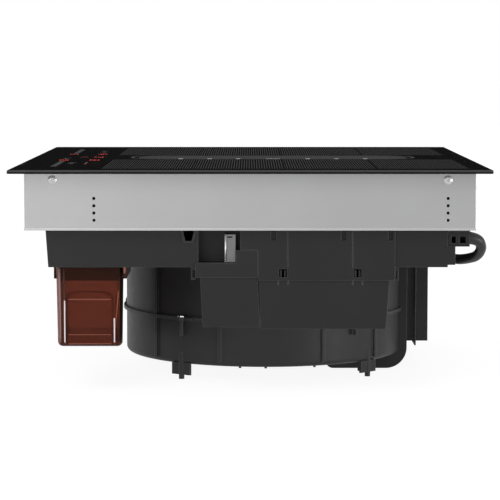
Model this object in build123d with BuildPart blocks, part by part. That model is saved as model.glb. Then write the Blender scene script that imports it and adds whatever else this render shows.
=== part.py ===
from build123d import *
import os
from math import atan2, ceil, cos, degrees, hypot, pi, radians, sin, sqrt, tan

# Downdraft induction cooktop. +X is the user's right, +Y the back, Z = 0 the
# plane under its feet. X = 0 is the glass's middle; the middle of its depth is at
# Y = TOP_Y. Millimetres.

# Driving dimensions: the stack of the height, from the floor up
FOOT_H = 17.5
VOLUTE_LOWER_H = 53.5
VOLUTE_UPPER_H = 71.2
HOUSING_H = 41.4
TRAY_H = 61.6
BOND_T = 0.8
GLASS_T = 4.0

# Glass and the air inlet in it
GLASS_W = 592.0
GLASS_D = 523.0
GLASS_R = 4.0
TOP_Y = -1.3
GLASS_BEVEL = 0.8
INLET_W = 100.0
INLET_D = 342.0
INLET_R = 46.0
INLET_Y = 26.0
INLET_CLEARANCE = 0.5
INLET_WALL = 2.5
INLET_LIP_W = 12.0
INLET_LIP_T = 2.5
INLET_H = 24.0

# Cover grille on its fingers
GRILLE_GAP = 6.0
GRILLE_T = 2.5
FINGER_OFFSETS = (41.6, 75.7, 110.0)
FINGER_W = 5.0
FINGER_T = 2.5
FINGER_OVERLAP = 2.5
NOTCH_W = 18.0
NOTCH_D = 5.0

# Grease filter cassette
FILTER_CLEARANCE = 2.0
FILTER_END_GAP = 18.0
FILTER_H = 46.0
FILTER_RIM = 5.0
FILTER_SHEET = 1.0
FILTER_MESH_T = 3.0
FILTER_BARS = 5
FILTER_SHELF = 3.0

# Steel tray
TRAY_W = 552.0
TRAY_D = 489.0
SHEET = 1.0
TRAY_FLANGE_W = 8.0
HEM_H = 2.0
HEM_T = 0.6
SCREW_INSET_Y = 30.4
SCREW_DROP = 6.8
SCREW_HEAD_R = 4.2
SCREW_HEAD_T = 1.8
SCREW_SHANK_R = 1.75
SCREW_SHANK_L = 6.0
PEG_HOLE_R = 1.7
PEG_HOLES = 4
PEG_PITCH = 7.9
PEG_TOP_DROP = 26.8
PEG_FRONT_INSET = 75.3
PEG_BACK_INSET = 30.1
LOUVRE_COUNT = 4
LOUVRE_PITCH = 8.2
LOUVRE_H = 6.4
LOUVRE_OUT = 1.0
LOUVRE_W = 96.0
LOUVRE_COLUMNS = (-178.0, 0.0, 178.0)
LOUVRE_TOP_DROP = 2.4

# Induction zones: two columns of four oval coils
COILS = 4
COIL_PITCH = 101.0
COIL_ROW_Y = 37.0
COIL_X = 160.0
COIL_W = 192.0
COIL_D = 92.0
COIL_T = 5.6
COIL_BORE_W = 122.0
COIL_BORE_D = 24.0
MICA_T = 0.6
CARRIER_T = 3.0
FERRITE_T = 4.0
FERRITE_W = 14.0
FERRITES = 5
SUPPORT_T = 2.0
SUPPORT_W = 204.0
SUPPORT_LEG_R = 4.0
SENSOR_R = 6.0
BOARD_T = 1.6
POWER_BOARD_W = 168.0
POWER_BOARD_D = 330.0
POWER_BOARD_BACK = 20.0
STANDOFF_R = 3.0
STANDOFF_H = 8.0
STANDOFF_INSET = 8.0
CAPACITORS = 3
CAPACITOR_X = 55.0
CAPACITOR_PITCH = 90.0
CAPACITOR_R = 14.0
CAPACITOR_H = 24.4
CHOKE_SIZE = 32.0
CHOKE_H = 30.0
MODULE_D = 70.0
MODULE_W = 30.0
MODULE_H = 18.4
SINK_FINS = 7
SINK_H = 24.0
SINK_W = 50.0
SINK_D = 160.0
SINK_BASE_T = 5.0
SINK_FIN_T = 2.0
BLOWER_BOARD_X = 34.0
BLOWER_BOARD_INSET = 8.0
BLOWER_BOARD_H = 47.0
RELAY = 16.0
MAINS_BOARD_INSET = 10.0

# Cooling fans of the electronics
FAN_X = 214.0
FAN_Y = -188.0
FAN_SIZE = 80.0
FAN_H = 25.0
FAN_BORE_R = 37.5
FAN_TIP_GAP = 1.0
FAN_HUB_R = 17.0
FAN_BLADES = 7
FAN_PIN_R = 2.0

# Running and fitting clearances
SHAFT_CLEARANCE = 0.05
SLIDE_CLEARANCE = 0.5
BODY_GAP = 0.4

# Touch control board
TOUCH_W = 440.0
TOUCH_D = 48.0
TOUCH_Y = -203.0
TOUCH_BLOCK_T = 2.0
TOUCH_BLOCK_W = 48.0
TOUCH_BLOCK_INSET = 4.0
TOUCH_BLOCK_XS = (-155.0, -82.0, 0.0, 70.0, 155.0)

# Plastic housing under the tray
HOUSING_W = 524.0
HOUSING_WALL = 2.5
HOUSING_FRONT = -224.5
HOUSING_BACK = 214.6
HOUSING_LEAN = 2.7
HOUSING_LIP_BACK = 239.0
HOUSING_LIP_T = 2.0
RECESS_Y0 = -58.0
RECESS_Y1 = -12.0
RECESS_DEPTH = 24.0
RECESS_FLOOR_H = 5.0
DUCT_BOX_W = 216.0
NOTCH_YS = (24.3, 101.0, 152.2)
NOTCH_SIZE = (5.6, 12.0)
FUNNEL_Y = -68.6
FUNNEL_TOP = 13.0
FUNNEL_LOW = 6.6
FUNNEL_H = 12.6
FUNNEL_RIM = 1.4
RIB_Y = 222.8

# Blower: scroll casing round a vertical axis
SCROLL_Y = 16.0
SCROLL_R = 167.0
SCROLL_GROWTH = 20.0
SCROLL_WALL = 2.5
SCROLL_FLANGE = 3.5
SCROLL_FLANGE_T = 2.0
SCROLL_CORNER_R = 6.0
NUB_ANGLES = (-10.3, 0.2, 20.6)
NUB_R = 1.5
OUTLET_X = 50.0
JOIN_Y = 150.0
EYE_R = 92.0
RIB_W = 4.2
RIB_OUT = 2.6
NEAR_RIBS = (-48.8, -18.0, 23.5, 49.8)
FAR_RIBS = (-115.0, -145.0, -175.0)
POST_ANGLES = (-33.8, 37.2)
FAR_POST_ANGLES = (-105.0, -160.0)
POST_R = 2.7
POST_DROP = 19.5
POST_BOSS_R = 5.0
POST_LUG_W = 9.0
POST_LUG_TURN = 3.4
FOOT_PIN_R = 3.2
FOOT_WING_W = 26.0
FOOT_WING_LIFT = 5.0
FOOT_ANGLES = (-35.7, 46.3)
FAR_FOOT_ANGLE = -145.0

# Impeller and its motor
WHEEL_R = 112.0
BLADE_INNER_R = 93.0
WHEEL_PLATE_T = 2.5
WHEEL_LIFT = 10.0
WHEEL_H = 99.0
WHEEL_RING_T = 3.0
BLADES = 36
BLADE_T = 1.2
CUP_R = 52.0
CUP_H = 32.0
MOTOR_R = 44.0
MOTOR_H = 38.0
SHAFT_R = 4.0
BEARING_R = 11.0
BEARING_T = 7.0
HUB_R = 12.0

# Outlet collector and flat duct spigot
COLLECTOR_BACK = 186.0
COLLECTOR_FOOT_FRONT = 89.0
COLLECTOR_CORNER_R = 25.0
COLLECTOR_TOE_R = 9.0
SPIGOT_W = 218.0
SPIGOT_H = 89.0
SPIGOT_Z = 75.5
SPIGOT_INSET = 15.0
SPIGOT_NECK = 10.0
SPIGOT_REACH = 26.0
SPIGOT_FLANGE_T = 1.6
SPIGOT_FLANGE_OUT = 5.0
SPIGOT_WALL = 2.0

# Electronics box, its cover and the connection box on the right side
BOX_DEPTH = 80.0
BOX_FACE_OUT = 3.0
BOX_Y0 = -55.8
BOX_Y1 = 7.2
BOX_H = 65.7
BOX_RIM_H = 11.2
BOX_RIM_OUT = 5.4
BOX_LEAN = (2.6, 2.4)
TONGUE_H = 18.8
HOOK_OUT = 4.5
HOOK_W = 10.0
HOOK_H = 13.6
BOX_WALL = 2.2
COVER_Y1 = 157.0
COVER_DROP = 14.2
LOWER_BOX_Y1 = 151.0
LOWER_BOX_H = 53.7
LOWER_BOX_LEAN = (2.4, -3.7)
PIECE_GAP = 0.4
SEAM_YS = (39.8, 110.7)
CLIP_YS = (34.5, 116.0)
CLIP_W = 8.8
CLIP_H = 9.2
CLIP_LIFT = 3.2
END_HOOK = (17.0, 4.0, 14.0)
END_HOOK_WALL = 1.6

# Drain tank
TANK_X0 = 96.0
TANK_X1 = 246.0
TANK_Y0 = -215.4
TANK_Y1 = -140.3
TANK_H = 89.6
TANK_WALL = 2.2
TANK_NARROW = 10.5
TANK_DRAFT = 1.0
TANK_CORNER_R = 8.0
TANK_EAR_OUT = 2.5
TANK_EAR_H = 13.0
TANK_EAR_SPAN = 95.0
TANK_PANEL = 1.0
PANEL_INSET = 12.0
PANEL_DROP = 26.0
PANEL_H = 50.0
SEAL_T = 1.6
COLLAR_H = 15.0
COLLAR_WALL = 2.0
DRAIN_R = 7.0
DRAIN_WALL = 1.5
DRAIN_PORT_SPARE = 3.0

# Mains cable, its terminal box and its stowed coil
CORD_R = 5.75
TERMINAL_Y0 = 215.0
TERMINAL_W = 57.0
TERMINAL_DROP = 19.0
TERMINAL_WALL = 3.0
TERMINAL_WINDOWS = ((218.6, 223.4), (227.7, 234.3))
TERMINAL_WINDOW_Z = (3.8, 11.3)
CABLE_INSET = 24.0
CABLE_DROP = 11.0
GLAND_DEPTH = 5.4
GLAND_R = 7.6
COIL_CENTRE = (-268.0, -14.0)
COIL_START_R = 60.0
COIL_STEP = 12.4
COIL_TURNS_IN = 1.0
COIL_CLIMB = 0.5
COIL_TURNS = 2.05
TIE_T = 1.2
TIE_W = 12.0
CORE_R = 1.5
CORE_L = 34.0

# Levels worked out from the stack
z_volute = FOOT_H
z_parting = z_volute + VOLUTE_LOWER_H
z_housing = z_parting + VOLUTE_UPPER_H
z_tray = z_housing + HOUSING_H
z_bond = z_tray + TRAY_H
z_glass = z_bond + BOND_T
z_top = z_glass + GLASS_T

os.makedirs("parts", exist_ok=True)


def write(name, piece):
    """Label a finished piece and write it as its own STEP file."""
    piece.label = name
    export_step(piece, f"parts/{name}.step")


def block(x, y, z, mode=Mode.ADD):
    """Add a box to the open part, from its limits along X, Y and Z."""
    middle = ((x[0] + x[1]) / 2, (y[0] + y[1]) / 2, (z[0] + z[1]) / 2)
    with Locations(middle):
        Box(x[1] - x[0], y[1] - y[0], z[1] - z[0], mode=mode)


def rounded(x, y, z, radius, mode=Mode.ADD):
    """Add an upright box with round corners to the open part, from its limits."""
    with BuildSketch(Plane.XY.offset(z[0])) as outline:
        with Locations(((x[0] + x[1]) / 2, (y[0] + y[1]) / 2)):
            RectangleRounded(x[1] - x[0], y[1] - y[0], radius)
    extrude(outline.sketch, amount=z[1] - z[0], mode=mode)


def drafted(x, y, z, lean, mode=Mode.ADD):
    """Add a box whose front and back walls move by lean[0] and lean[1] down to its bottom."""
    with BuildSketch(Plane.YZ.offset(x[0])) as side:
        with BuildLine():
            low = (y[0] + lean[0], y[1] + lean[1])
            Polyline((y[0], z[1]), (y[1], z[1]), (low[1], z[0]), (low[0], z[0]), close=True)
        make_face()
    extrude(side.sketch, amount=x[1] - x[0], mode=mode)


def rod(x, y, z, radius, mode=Mode.ADD):
    """Add an upright cylinder to the open part."""
    with BuildSketch(Plane.XY.offset(z[0])) as outline:
        with Locations((x, y)):
            Circle(radius)
    extrude(outline.sketch, amount=z[1] - z[0], mode=mode)


# Glass top with the inlet opening
inlet_r = INLET_R
with BuildPart() as glass_top:
    with BuildSketch(Plane.XY.offset(z_glass)):
        with Locations((0, TOP_Y)):
            RectangleRounded(GLASS_W, GLASS_D, GLASS_R)
        with Locations((0, INLET_Y)):
            RectangleRounded(INLET_W, INLET_D, inlet_r, mode=Mode.SUBTRACT)
    extrude(amount=GLASS_T)
    top_rim = glass_top.faces().sort_by(Axis.Z)[-1].outer_wire().edges()
    chamfer(top_rim, GLASS_BEVEL)
write("glass_top", glass_top.part)

# Silicone bond between the tray's flange and the glass
with BuildPart() as glass_bond:
    with BuildSketch(Plane.XY.offset(z_bond)):
        with Locations((0, TOP_Y)):
            Rectangle(TRAY_W, TRAY_D)
            Rectangle(TRAY_W - 2 * TRAY_FLANGE_W, TRAY_D - 2 * TRAY_FLANGE_W, mode=Mode.SUBTRACT)
    extrude(amount=BOND_T)
write("glass_bond", glass_bond.part)

# Air inlet: the half widths of its frame, then of the grille in it
frame_x = INLET_W / 2 - INLET_CLEARANCE
frame_y = INLET_D / 2 - INLET_CLEARANCE
frame_r = inlet_r - INLET_CLEARANCE
bore_x = frame_x - INLET_WALL
bore_y = frame_y - INLET_WALL
bore_r = frame_r - INLET_WALL
grille_x = bore_x - GRILLE_GAP
grille_y = bore_y - GRILLE_GAP
grille_r = bore_r - GRILLE_GAP
z_grille = z_top - GRILLE_T
z_inlet_end = z_top - INLET_H
finger_ys = [INLET_Y + side * offset for side in (-1, 1) for offset in FINGER_OFFSETS]

filter_x = grille_x - FINGER_OVERLAP - FILTER_CLEARANCE
filter_y = (INLET_Y - bore_y + FILTER_END_GAP, INLET_Y + bore_y - FILTER_END_GAP)
z_filter_top = z_grille - FINGER_T - FILTER_CLEARANCE
z_filter = z_filter_top - FILTER_H
z_rim = z_filter_top - FILTER_SHEET
basket_x = filter_x - FILTER_RIM
basket_y = (filter_y[0] + FILTER_RIM, filter_y[1] - FILTER_RIM)

with BuildPart() as inlet_frame:
    rounded((-frame_x, frame_x), (INLET_Y - frame_y, INLET_Y + frame_y), (z_inlet_end, z_top), frame_r)
    lip_x = frame_x + INLET_LIP_W
    lip_y = frame_y + INLET_LIP_W
    lip = (z_glass - INLET_LIP_T, z_glass)
    rounded((-lip_x, lip_x), (INLET_Y - lip_y, INLET_Y + lip_y), lip, frame_r)
    rounded(
        (-bore_x, bore_x),
        (INLET_Y - bore_y, INLET_Y + bore_y),
        (z_inlet_end, z_top),
        bore_r,
        mode=Mode.SUBTRACT,
    )
    for y in finger_ys:
        for side in (-1, 1):
            reach = sorted((side * (grille_x - FINGER_OVERLAP), side * (bore_x + INLET_WALL / 2)))
            block(reach, (y - FINGER_W / 2, y + FINGER_W / 2), (z_grille - FINGER_T, z_grille))
    shelf_x = (2 * FILTER_RIM - basket_x, basket_x - 2 * FILTER_RIM)
    shelf_z = (z_rim - FILTER_SHELF - BODY_GAP, z_rim - BODY_GAP)
    shelf_end = bore_y + INLET_WALL / 2
    block(shelf_x, (INLET_Y - shelf_end, basket_y[0] - BODY_GAP), shelf_z)
    block(shelf_x, (basket_y[1] + BODY_GAP, INLET_Y + shelf_end), shelf_z)
write("inlet_frame", inlet_frame.part)

# Cover grille: a flat plate with an air gap all round and a finger notch
with BuildPart() as inlet_grille:
    grille_span = (INLET_Y - grille_y, INLET_Y + grille_y)
    rounded((-grille_x, grille_x), grille_span, (z_grille, z_top), grille_r)
    block(
        (grille_x - NOTCH_D, grille_x + 1),
        (INLET_Y - NOTCH_W / 2, INLET_Y + NOTCH_W / 2),
        (z_grille, z_top),
        mode=Mode.SUBTRACT,
    )
write("inlet_grille", inlet_grille.part)

# Grease filter: a bent sheet basket with windows, and its mesh
window_pitch = (basket_y[1] - basket_y[0]) / FILTER_BARS
window_d = window_pitch - 2 * FILTER_RIM
window_z = (z_filter + FILTER_RIM, z_rim - FILTER_RIM)

with BuildPart() as filter_cassette:
    block((-filter_x, filter_x), filter_y, (z_rim, z_filter_top))
    block((-basket_x, basket_x), basket_y, (z_filter, z_rim))
    block(
        (FILTER_SHEET - basket_x, basket_x - FILTER_SHEET),
        (basket_y[0] + FILTER_SHEET, basket_y[1] - FILTER_SHEET),
        (z_filter + FILTER_SHEET, z_filter_top),
        mode=Mode.SUBTRACT,
    )
    for i in range(FILTER_BARS):
        y = basket_y[0] + (i + 0.5) * window_pitch
        span = (y - window_d / 2, y + window_d / 2)
        block((-filter_x, filter_x), span, window_z, mode=Mode.SUBTRACT)
        floor_x = basket_x - FILTER_RIM
        block((-floor_x, floor_x), span, (z_filter, z_filter + FILTER_SHEET), mode=Mode.SUBTRACT)
write("filter_cassette", filter_cassette.part)

with BuildPart() as filter_mesh:
    mesh_x = basket_x - FILTER_SHEET
    mesh_y = (basket_y[0] + FILTER_SHEET, basket_y[1] - FILTER_SHEET)
    block((-mesh_x, mesh_x), mesh_y, (z_filter + FILTER_SHEET, z_rim - FILTER_SHEET))
    block(
        (FILTER_MESH_T - mesh_x, mesh_x - FILTER_MESH_T),
        (mesh_y[0] + FILTER_MESH_T, mesh_y[1] - FILTER_MESH_T),
        (z_filter + FILTER_SHEET + FILTER_MESH_T, z_rim),
        mode=Mode.SUBTRACT,
    )
write("filter_mesh", filter_mesh.part)

# Steel tray: folded sheet with louvres, peg holes and a rolled hem at its foot
tray_front = TOP_Y - TRAY_D / 2
tray_back = TOP_Y + TRAY_D / 2
side_screw_ys = (tray_front + SCREW_INSET_Y, tray_back - SCREW_INSET_Y)
peg_ys = (tray_front + PEG_FRONT_INSET, tray_back - PEG_BACK_INSET)
z_screw = z_bond - SCREW_DROP
duct_x = frame_x + BODY_GAP + INLET_WALL
duct_y = frame_y + BODY_GAP + INLET_WALL

with BuildPart() as steel_tray:
    half_x = TRAY_W / 2
    block((-half_x, half_x), (tray_front, tray_back), (z_tray, z_bond))
    inner_x = half_x - SHEET
    inner_y = (tray_front + SHEET, tray_back - SHEET)
    inner_z = (z_tray + SHEET, z_bond - SHEET)
    block((-inner_x, inner_x), inner_y, inner_z, mode=Mode.SUBTRACT)
    mouth_x = half_x - TRAY_FLANGE_W
    mouth_y = (tray_front + TRAY_FLANGE_W, tray_back - TRAY_FLANGE_W)
    block((-mouth_x, mouth_x), mouth_y, (z_bond - SHEET, z_bond), mode=Mode.SUBTRACT)
    with BuildSketch(Plane.XY.offset(z_tray)) as hem:
        with Locations((0, TOP_Y)):
            Rectangle(TRAY_W + 2 * HEM_T, TRAY_D + 2 * HEM_T)
            Rectangle(TRAY_W, TRAY_D, mode=Mode.SUBTRACT)
    extrude(hem.sketch, amount=HEM_H)
    for side, wall_y in ((-1, tray_front), (1, tray_back)):
        for x in LOUVRE_COLUMNS:
            for i in range(LOUVRE_COUNT):
                z = z_bond - LOUVRE_TOP_DROP - i * LOUVRE_PITCH
                with BuildSketch(Plane.YZ.offset(x - LOUVRE_W / 2)) as hood:
                    with BuildLine():
                        Polyline(
                            (wall_y, z),
                            (wall_y + side * LOUVRE_OUT, z - LOUVRE_H / 3),
                            (wall_y + side * LOUVRE_OUT, z - LOUVRE_H),
                            (wall_y, z - LOUVRE_H),
                            close=True,
                        )
                    make_face()
                extrude(hood.sketch, amount=LOUVRE_W)
                slot_y = sorted((wall_y - side * (SHEET + 1), wall_y + side * LOUVRE_OUT / 2))
                slot_z = (z - LOUVRE_H + 0.8, z - LOUVRE_H / 2)
                slot_x = (x - LOUVRE_W / 2 + SHEET, x + LOUVRE_W / 2 - SHEET)
                block(slot_x, slot_y, slot_z, mode=Mode.SUBTRACT)
        for y in side_screw_ys:
            with BuildSketch(Plane.YZ.offset(side * half_x)) as bite:
                with Locations((y, z_screw)):
                    Circle(SCREW_SHANK_R)
            extrude(bite.sketch, amount=2 * SHEET, both=True, mode=Mode.SUBTRACT)
        for y in peg_ys:
            with BuildSketch(Plane.YZ.offset(side * half_x)) as pegs:
                for i in range(PEG_HOLES):
                    with Locations((y, z_bond - PEG_TOP_DROP - i * PEG_PITCH)):
                        Circle(PEG_HOLE_R)
            extrude(pegs.sketch, amount=2 * SHEET, both=True, mode=Mode.SUBTRACT)
    floor = (z_tray, z_tray + SHEET)
    block((-duct_x, duct_x), (INLET_Y - duct_y, INLET_Y + duct_y), floor, mode=Mode.SUBTRACT)
    for side in (-1, 1):
        rod(side * FAN_X, FAN_Y, floor, FAN_BORE_R, mode=Mode.SUBTRACT)
write("steel_tray", steel_tray.part)

with BuildPart() as tray_screws:
    for side in (-1, 1):
        for y in side_screw_ys:
            with BuildSketch(Plane.YZ.offset(side * TRAY_W / 2)) as head:
                with Locations((y, z_screw)):
                    Circle(SCREW_HEAD_R)
            extrude(head.sketch, amount=side * SCREW_HEAD_T)
            with BuildSketch(Plane.YZ.offset(side * TRAY_W / 2)) as shank:
                with Locations((y, z_screw)):
                    Circle(SCREW_SHANK_R)
            extrude(shank.sketch, amount=-side * SCREW_SHANK_L)
write("tray_screws", tray_screws.part)

# Touch control board under the front of the glass, with its display blocks
with BuildPart() as touch_board:
    z_board = z_glass - TOUCH_BLOCK_T - BOARD_T
    touch_y = (TOUCH_Y - TOUCH_D / 2, TOUCH_Y + TOUCH_D / 2)
    block((-TOUCH_W / 2, TOUCH_W / 2), touch_y, (z_board, z_board + BOARD_T))
    display_y = (touch_y[0] + TOUCH_BLOCK_INSET, touch_y[1] - TOUCH_BLOCK_INSET)
    for x in TOUCH_BLOCK_XS:
        block((x - TOUCH_BLOCK_W / 2, x + TOUCH_BLOCK_W / 2), display_y, (z_board, z_glass))
write("touch_board", touch_board.part)

# Levels of the induction stack, from the glass down
z_mica = z_glass - MICA_T
z_coil = z_mica - COIL_T
z_carrier = z_coil - CARRIER_T
z_ferrite = z_carrier - FERRITE_T
z_support = z_ferrite - SUPPORT_T
coil_ys = [COIL_ROW_Y + (i - (COILS - 1) / 2) * COIL_PITCH for i in range(COILS)]
stack_y = (coil_ys[0] - COIL_D / 2, coil_ys[-1] + COIL_D / 2)
z_floor = z_tray + SHEET

with BuildPart() as mica_sheets:
    for side in (-1, 1):
        span = sorted((side * (COIL_X - COIL_W / 2), side * (COIL_X + COIL_W / 2)))
        block(span, stack_y, (z_mica, z_glass))
write("mica_sheets", mica_sheets.part)


def coil_winding(x, y):
    """A flat oval winding of litz wire, centred at x, y."""
    with BuildPart() as winding:
        with BuildSketch(Plane.XY.offset(z_coil)):
            with Locations((x, y)):
                RectangleRounded(COIL_W, COIL_D, COIL_D / 2 - 2)
                RectangleRounded(COIL_BORE_W, COIL_BORE_D, COIL_BORE_D / 2 - 1, mode=Mode.SUBTRACT)
        extrude(amount=COIL_T)
    return winding.part


def coil_carriers(side):
    """The plastic plates under one column of windings, each with its own edge."""
    with BuildPart() as carriers:
        for y in coil_ys:
            x = side * COIL_X
            half_w = COIL_W / 2
            half_d = COIL_D / 2
            rounded((x - half_w, x + half_w), (y - half_d, y + half_d), (z_carrier, z_coil), half_d - 2)
    return carriers.part


def coil_support(side):
    """An aluminium plate that holds one column of coils up, on four legs."""
    with BuildPart() as support:
        x = side * COIL_X
        half_w = SUPPORT_W / 2
        block((x - half_w, x + half_w), stack_y, (z_support, z_ferrite))
        for leg_x in (x - half_w + SUPPORT_LEG_R, x + half_w - SUPPORT_LEG_R):
            for leg_y in (stack_y[0] + SUPPORT_LEG_R, stack_y[1] - SUPPORT_LEG_R):
                rod(leg_x, leg_y, (z_floor, z_support), SUPPORT_LEG_R)
    return support.part


def power_board(side):
    """One inverter board on four standoffs, with its capacitors and choke."""
    with BuildPart() as board:
        x = side * COIL_X
        z = z_floor + STANDOFF_H
        half_w = POWER_BOARD_W / 2
        middle_y = COIL_ROW_Y + POWER_BOARD_BACK
        board_y = (middle_y - POWER_BOARD_D / 2, middle_y + POWER_BOARD_D / 2)
        block((x - half_w, x + half_w), board_y, (z, z + BOARD_T))
        for leg_x in (x - half_w + STANDOFF_INSET, x + half_w - STANDOFF_INSET):
            for leg_y in (board_y[0] + STANDOFF_INSET, board_y[1] - STANDOFF_INSET):
                rod(leg_x, leg_y, (z_floor, z), STANDOFF_R)
        z_face = z + BOARD_T
        for i in range(CAPACITORS):
            y = middle_y + (i - 1) * CAPACITOR_PITCH - CAPACITOR_R
            rod(x + side * CAPACITOR_X, y, (z_face, z_face + CAPACITOR_H), CAPACITOR_R)
        module_x = (x - half_w + CAPACITOR_R, x - half_w + CAPACITOR_R + MODULE_W)
        module_y = (board_y[0] + CAPACITOR_R, board_y[0] + CAPACITOR_R + MODULE_D)
        block(module_x, module_y, (z_face, z_face + MODULE_H))
    return board.part


for side, name in ((-1, "left"), (1, "right")):
    for number, y in enumerate(coil_ys, start=1):
        write(f"{name}_coil_{number}", coil_winding(side * COIL_X, y))
    write(f"{name}_coil_carriers", coil_carriers(side))
    write(f"{name}_coil_support", coil_support(side))
    write(f"{name}_power_board", power_board(side))

with BuildPart() as ferrite_bars:
    for side in (-1, 1):
        for y in coil_ys:
            for i in range(FERRITES):
                x = side * COIL_X + (i - (FERRITES - 1) / 2) * (COIL_W - 3 * FERRITE_W) / FERRITES
                reach = COIL_D / 2 - 8
                bar = (x - FERRITE_W / 2, x + FERRITE_W / 2)
                block(bar, (y - reach, y + reach), (z_ferrite, z_carrier))
write("ferrite_bars", ferrite_bars.part)

with BuildPart() as temperature_sensors:
    for side in (-1, 1):
        for y in coil_ys:
            rod(side * COIL_X, y, (z_coil, z_mica), SENSOR_R)
write("temperature_sensors", temperature_sensors.part)

with BuildPart() as heat_sinks:
    sink_z = z_floor + STANDOFF_H + BOARD_T
    for side in (-1, 1):
        x = side * COIL_X - SINK_W / 2
        sink_y = (COIL_ROW_Y - SINK_D / 4, COIL_ROW_Y + SINK_D * 3 / 4)
        block((x, x + SINK_W), sink_y, (sink_z, sink_z + SINK_BASE_T))
        for i in range(SINK_FINS):
            fin = x + i * (SINK_W - SINK_FIN_T) / (SINK_FINS - 1)
            block((fin, fin + SINK_FIN_T), sink_y, (sink_z + SINK_BASE_T, sink_z + SINK_H))
write("heat_sinks", heat_sinks.part)


# Cooling fans
def fan_frame(x):
    """A square fan frame with a round bore, four struts and a pin for the rotor."""
    with BuildPart() as frame:
        half = FAN_SIZE / 2
        rounded((x - half, x + half), (FAN_Y - half, FAN_Y + half), (z_floor, z_floor + FAN_H), 4)
        rod(x, FAN_Y, (z_floor, z_floor + FAN_H), FAN_BORE_R, mode=Mode.SUBTRACT)
        block((x - FAN_BORE_R - 1, x + FAN_BORE_R + 1), (FAN_Y - 2, FAN_Y + 2), (z_floor, z_floor + 3))
        block((x - 2, x + 2), (FAN_Y - FAN_BORE_R - 1, FAN_Y + FAN_BORE_R + 1), (z_floor, z_floor + 3))
        rod(x, FAN_Y, (z_floor, z_floor + 3), FAN_HUB_R)
        rod(x, FAN_Y, (z_floor, z_floor + FAN_H - 4), FAN_PIN_R)
    return frame.part


def fan_rotor(x):
    """An axial rotor: a bored hub with pitched blades that pass clear of the frame."""
    with BuildPart() as rotor:
        hub_z = (z_floor + 3 + BODY_GAP, z_floor + FAN_H - 2)
        rod(x, FAN_Y, hub_z, FAN_HUB_R)
        reach = FAN_BORE_R - FAN_TIP_GAP
        middle = (hub_z[0] + hub_z[1]) / 2
        for i in range(FAN_BLADES):
            turn = 360 / FAN_BLADES * i
            root = Plane.XY.offset(middle).location * Pos(x, FAN_Y, 0) * Rot(0, 0, turn)
            tilted = Plane(root * Pos(FAN_HUB_R - 1, 0, 0) * Rot(35, 0, 0))
            with BuildSketch(tilted) as blade:
                with Locations(((reach - FAN_HUB_R) / 2, 0)):
                    Rectangle(reach - FAN_HUB_R - 1, 16)
            extrude(blade.sketch, amount=0.8, both=True)
        rod(x, FAN_Y, hub_z, FAN_PIN_R + SHAFT_CLEARANCE, mode=Mode.SUBTRACT)
    return rotor.part


for side, name in ((-1, "left"), (1, "right")):
    write(f"{name}_fan_frame", fan_frame(side * FAN_X))
    write(f"{name}_fan_rotor", fan_rotor(side * FAN_X))

# Plastic housing tray under the steel tray
housing_x = HOUSING_W / 2
box_inner_x = housing_x - BOX_DEPTH
box_face_x = housing_x + BOX_FACE_OUT
tank_middle = ((TANK_X0 + TANK_X1) / 2, (TANK_Y0 + TANK_Y1) / 2)
drain = (TANK_X0 + 30, tank_middle[1])
z_recess = z_housing + RECESS_FLOOR_H


def funnel_outline(x, drop, grow, depth, mode):
    """Add or cut the funnel notch of the side wall, wider at its top, grown by a rim."""
    top = z_tray - drop
    low = z_tray - FUNNEL_H - grow
    with BuildSketch(Plane.YZ.offset(x)) as funnel:
        with BuildLine():
            Polyline(
                (FUNNEL_Y - FUNNEL_TOP / 2 - grow, top),
                (FUNNEL_Y + FUNNEL_TOP / 2 + grow, top),
                (FUNNEL_Y + FUNNEL_LOW / 2 + grow, low),
                (FUNNEL_Y - FUNNEL_LOW / 2 - grow, low),
                close=True,
            )
        make_face()
    extrude(funnel.sketch, amount=depth, mode=mode)


with BuildPart() as housing_tray:
    lean = (HOUSING_LEAN, 0)
    drafted((-housing_x, housing_x), (HOUSING_FRONT, HOUSING_BACK), (z_housing, z_tray), lean)
    lip = (z_tray - HOUSING_LIP_T, z_tray)
    block((-housing_x, housing_x), (HOUSING_BACK, HOUSING_LIP_BACK), lip)
    drafted(
        (HOUSING_WALL - housing_x, housing_x - HOUSING_WALL),
        (HOUSING_FRONT + HOUSING_WALL, HOUSING_BACK - HOUSING_WALL),
        (z_housing + HOUSING_WALL, z_tray),
        lean,
        mode=Mode.SUBTRACT,
    )
    recess_x = (housing_x - RECESS_DEPTH, housing_x)
    block(
        (recess_x[0] - HOUSING_WALL, recess_x[1]),
        (RECESS_Y0 - HOUSING_WALL, RECESS_Y1 + HOUSING_WALL),
        (z_housing, z_tray),
    )
    block(recess_x, (RECESS_Y0, RECESS_Y1), (z_recess, z_tray), mode=Mode.SUBTRACT)
    rod(0, SCROLL_Y, (z_housing, z_housing + HOUSING_WALL), EYE_R, mode=Mode.SUBTRACT)
    floor = (z_housing, z_housing + HOUSING_WALL)
    drain_port_r = DRAIN_R + DRAIN_WALL + DRAIN_PORT_SPARE
    rod(*drain, floor, drain_port_r, mode=Mode.SUBTRACT)
    wall = (housing_x - HOUSING_WALL, housing_x)
    rim = FUNNEL_RIM
    funnel_outline(wall[0] + HOUSING_WALL, HOUSING_LIP_T, rim, rim, Mode.ADD)
    funnel_outline(wall[0], 0, 0, HOUSING_WALL + rim, Mode.SUBTRACT)
    edge = (housing_x - HOUSING_WALL, housing_x)
    block(edge, (HOUSING_BACK, RIB_Y), (z_housing + 2.6, z_housing + 23), mode=Mode.ADD)
write("housing_tray", housing_tray.part)

# Intake duct: an air box on the housing floor with a neck up to the inlet frame
duct_front = INLET_Y - duct_y
duct_back = INLET_Y + duct_y
box_z = (z_housing + HOUSING_WALL, z_tray)
neck_z = (z_tray, z_inlet_end + 10)

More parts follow.
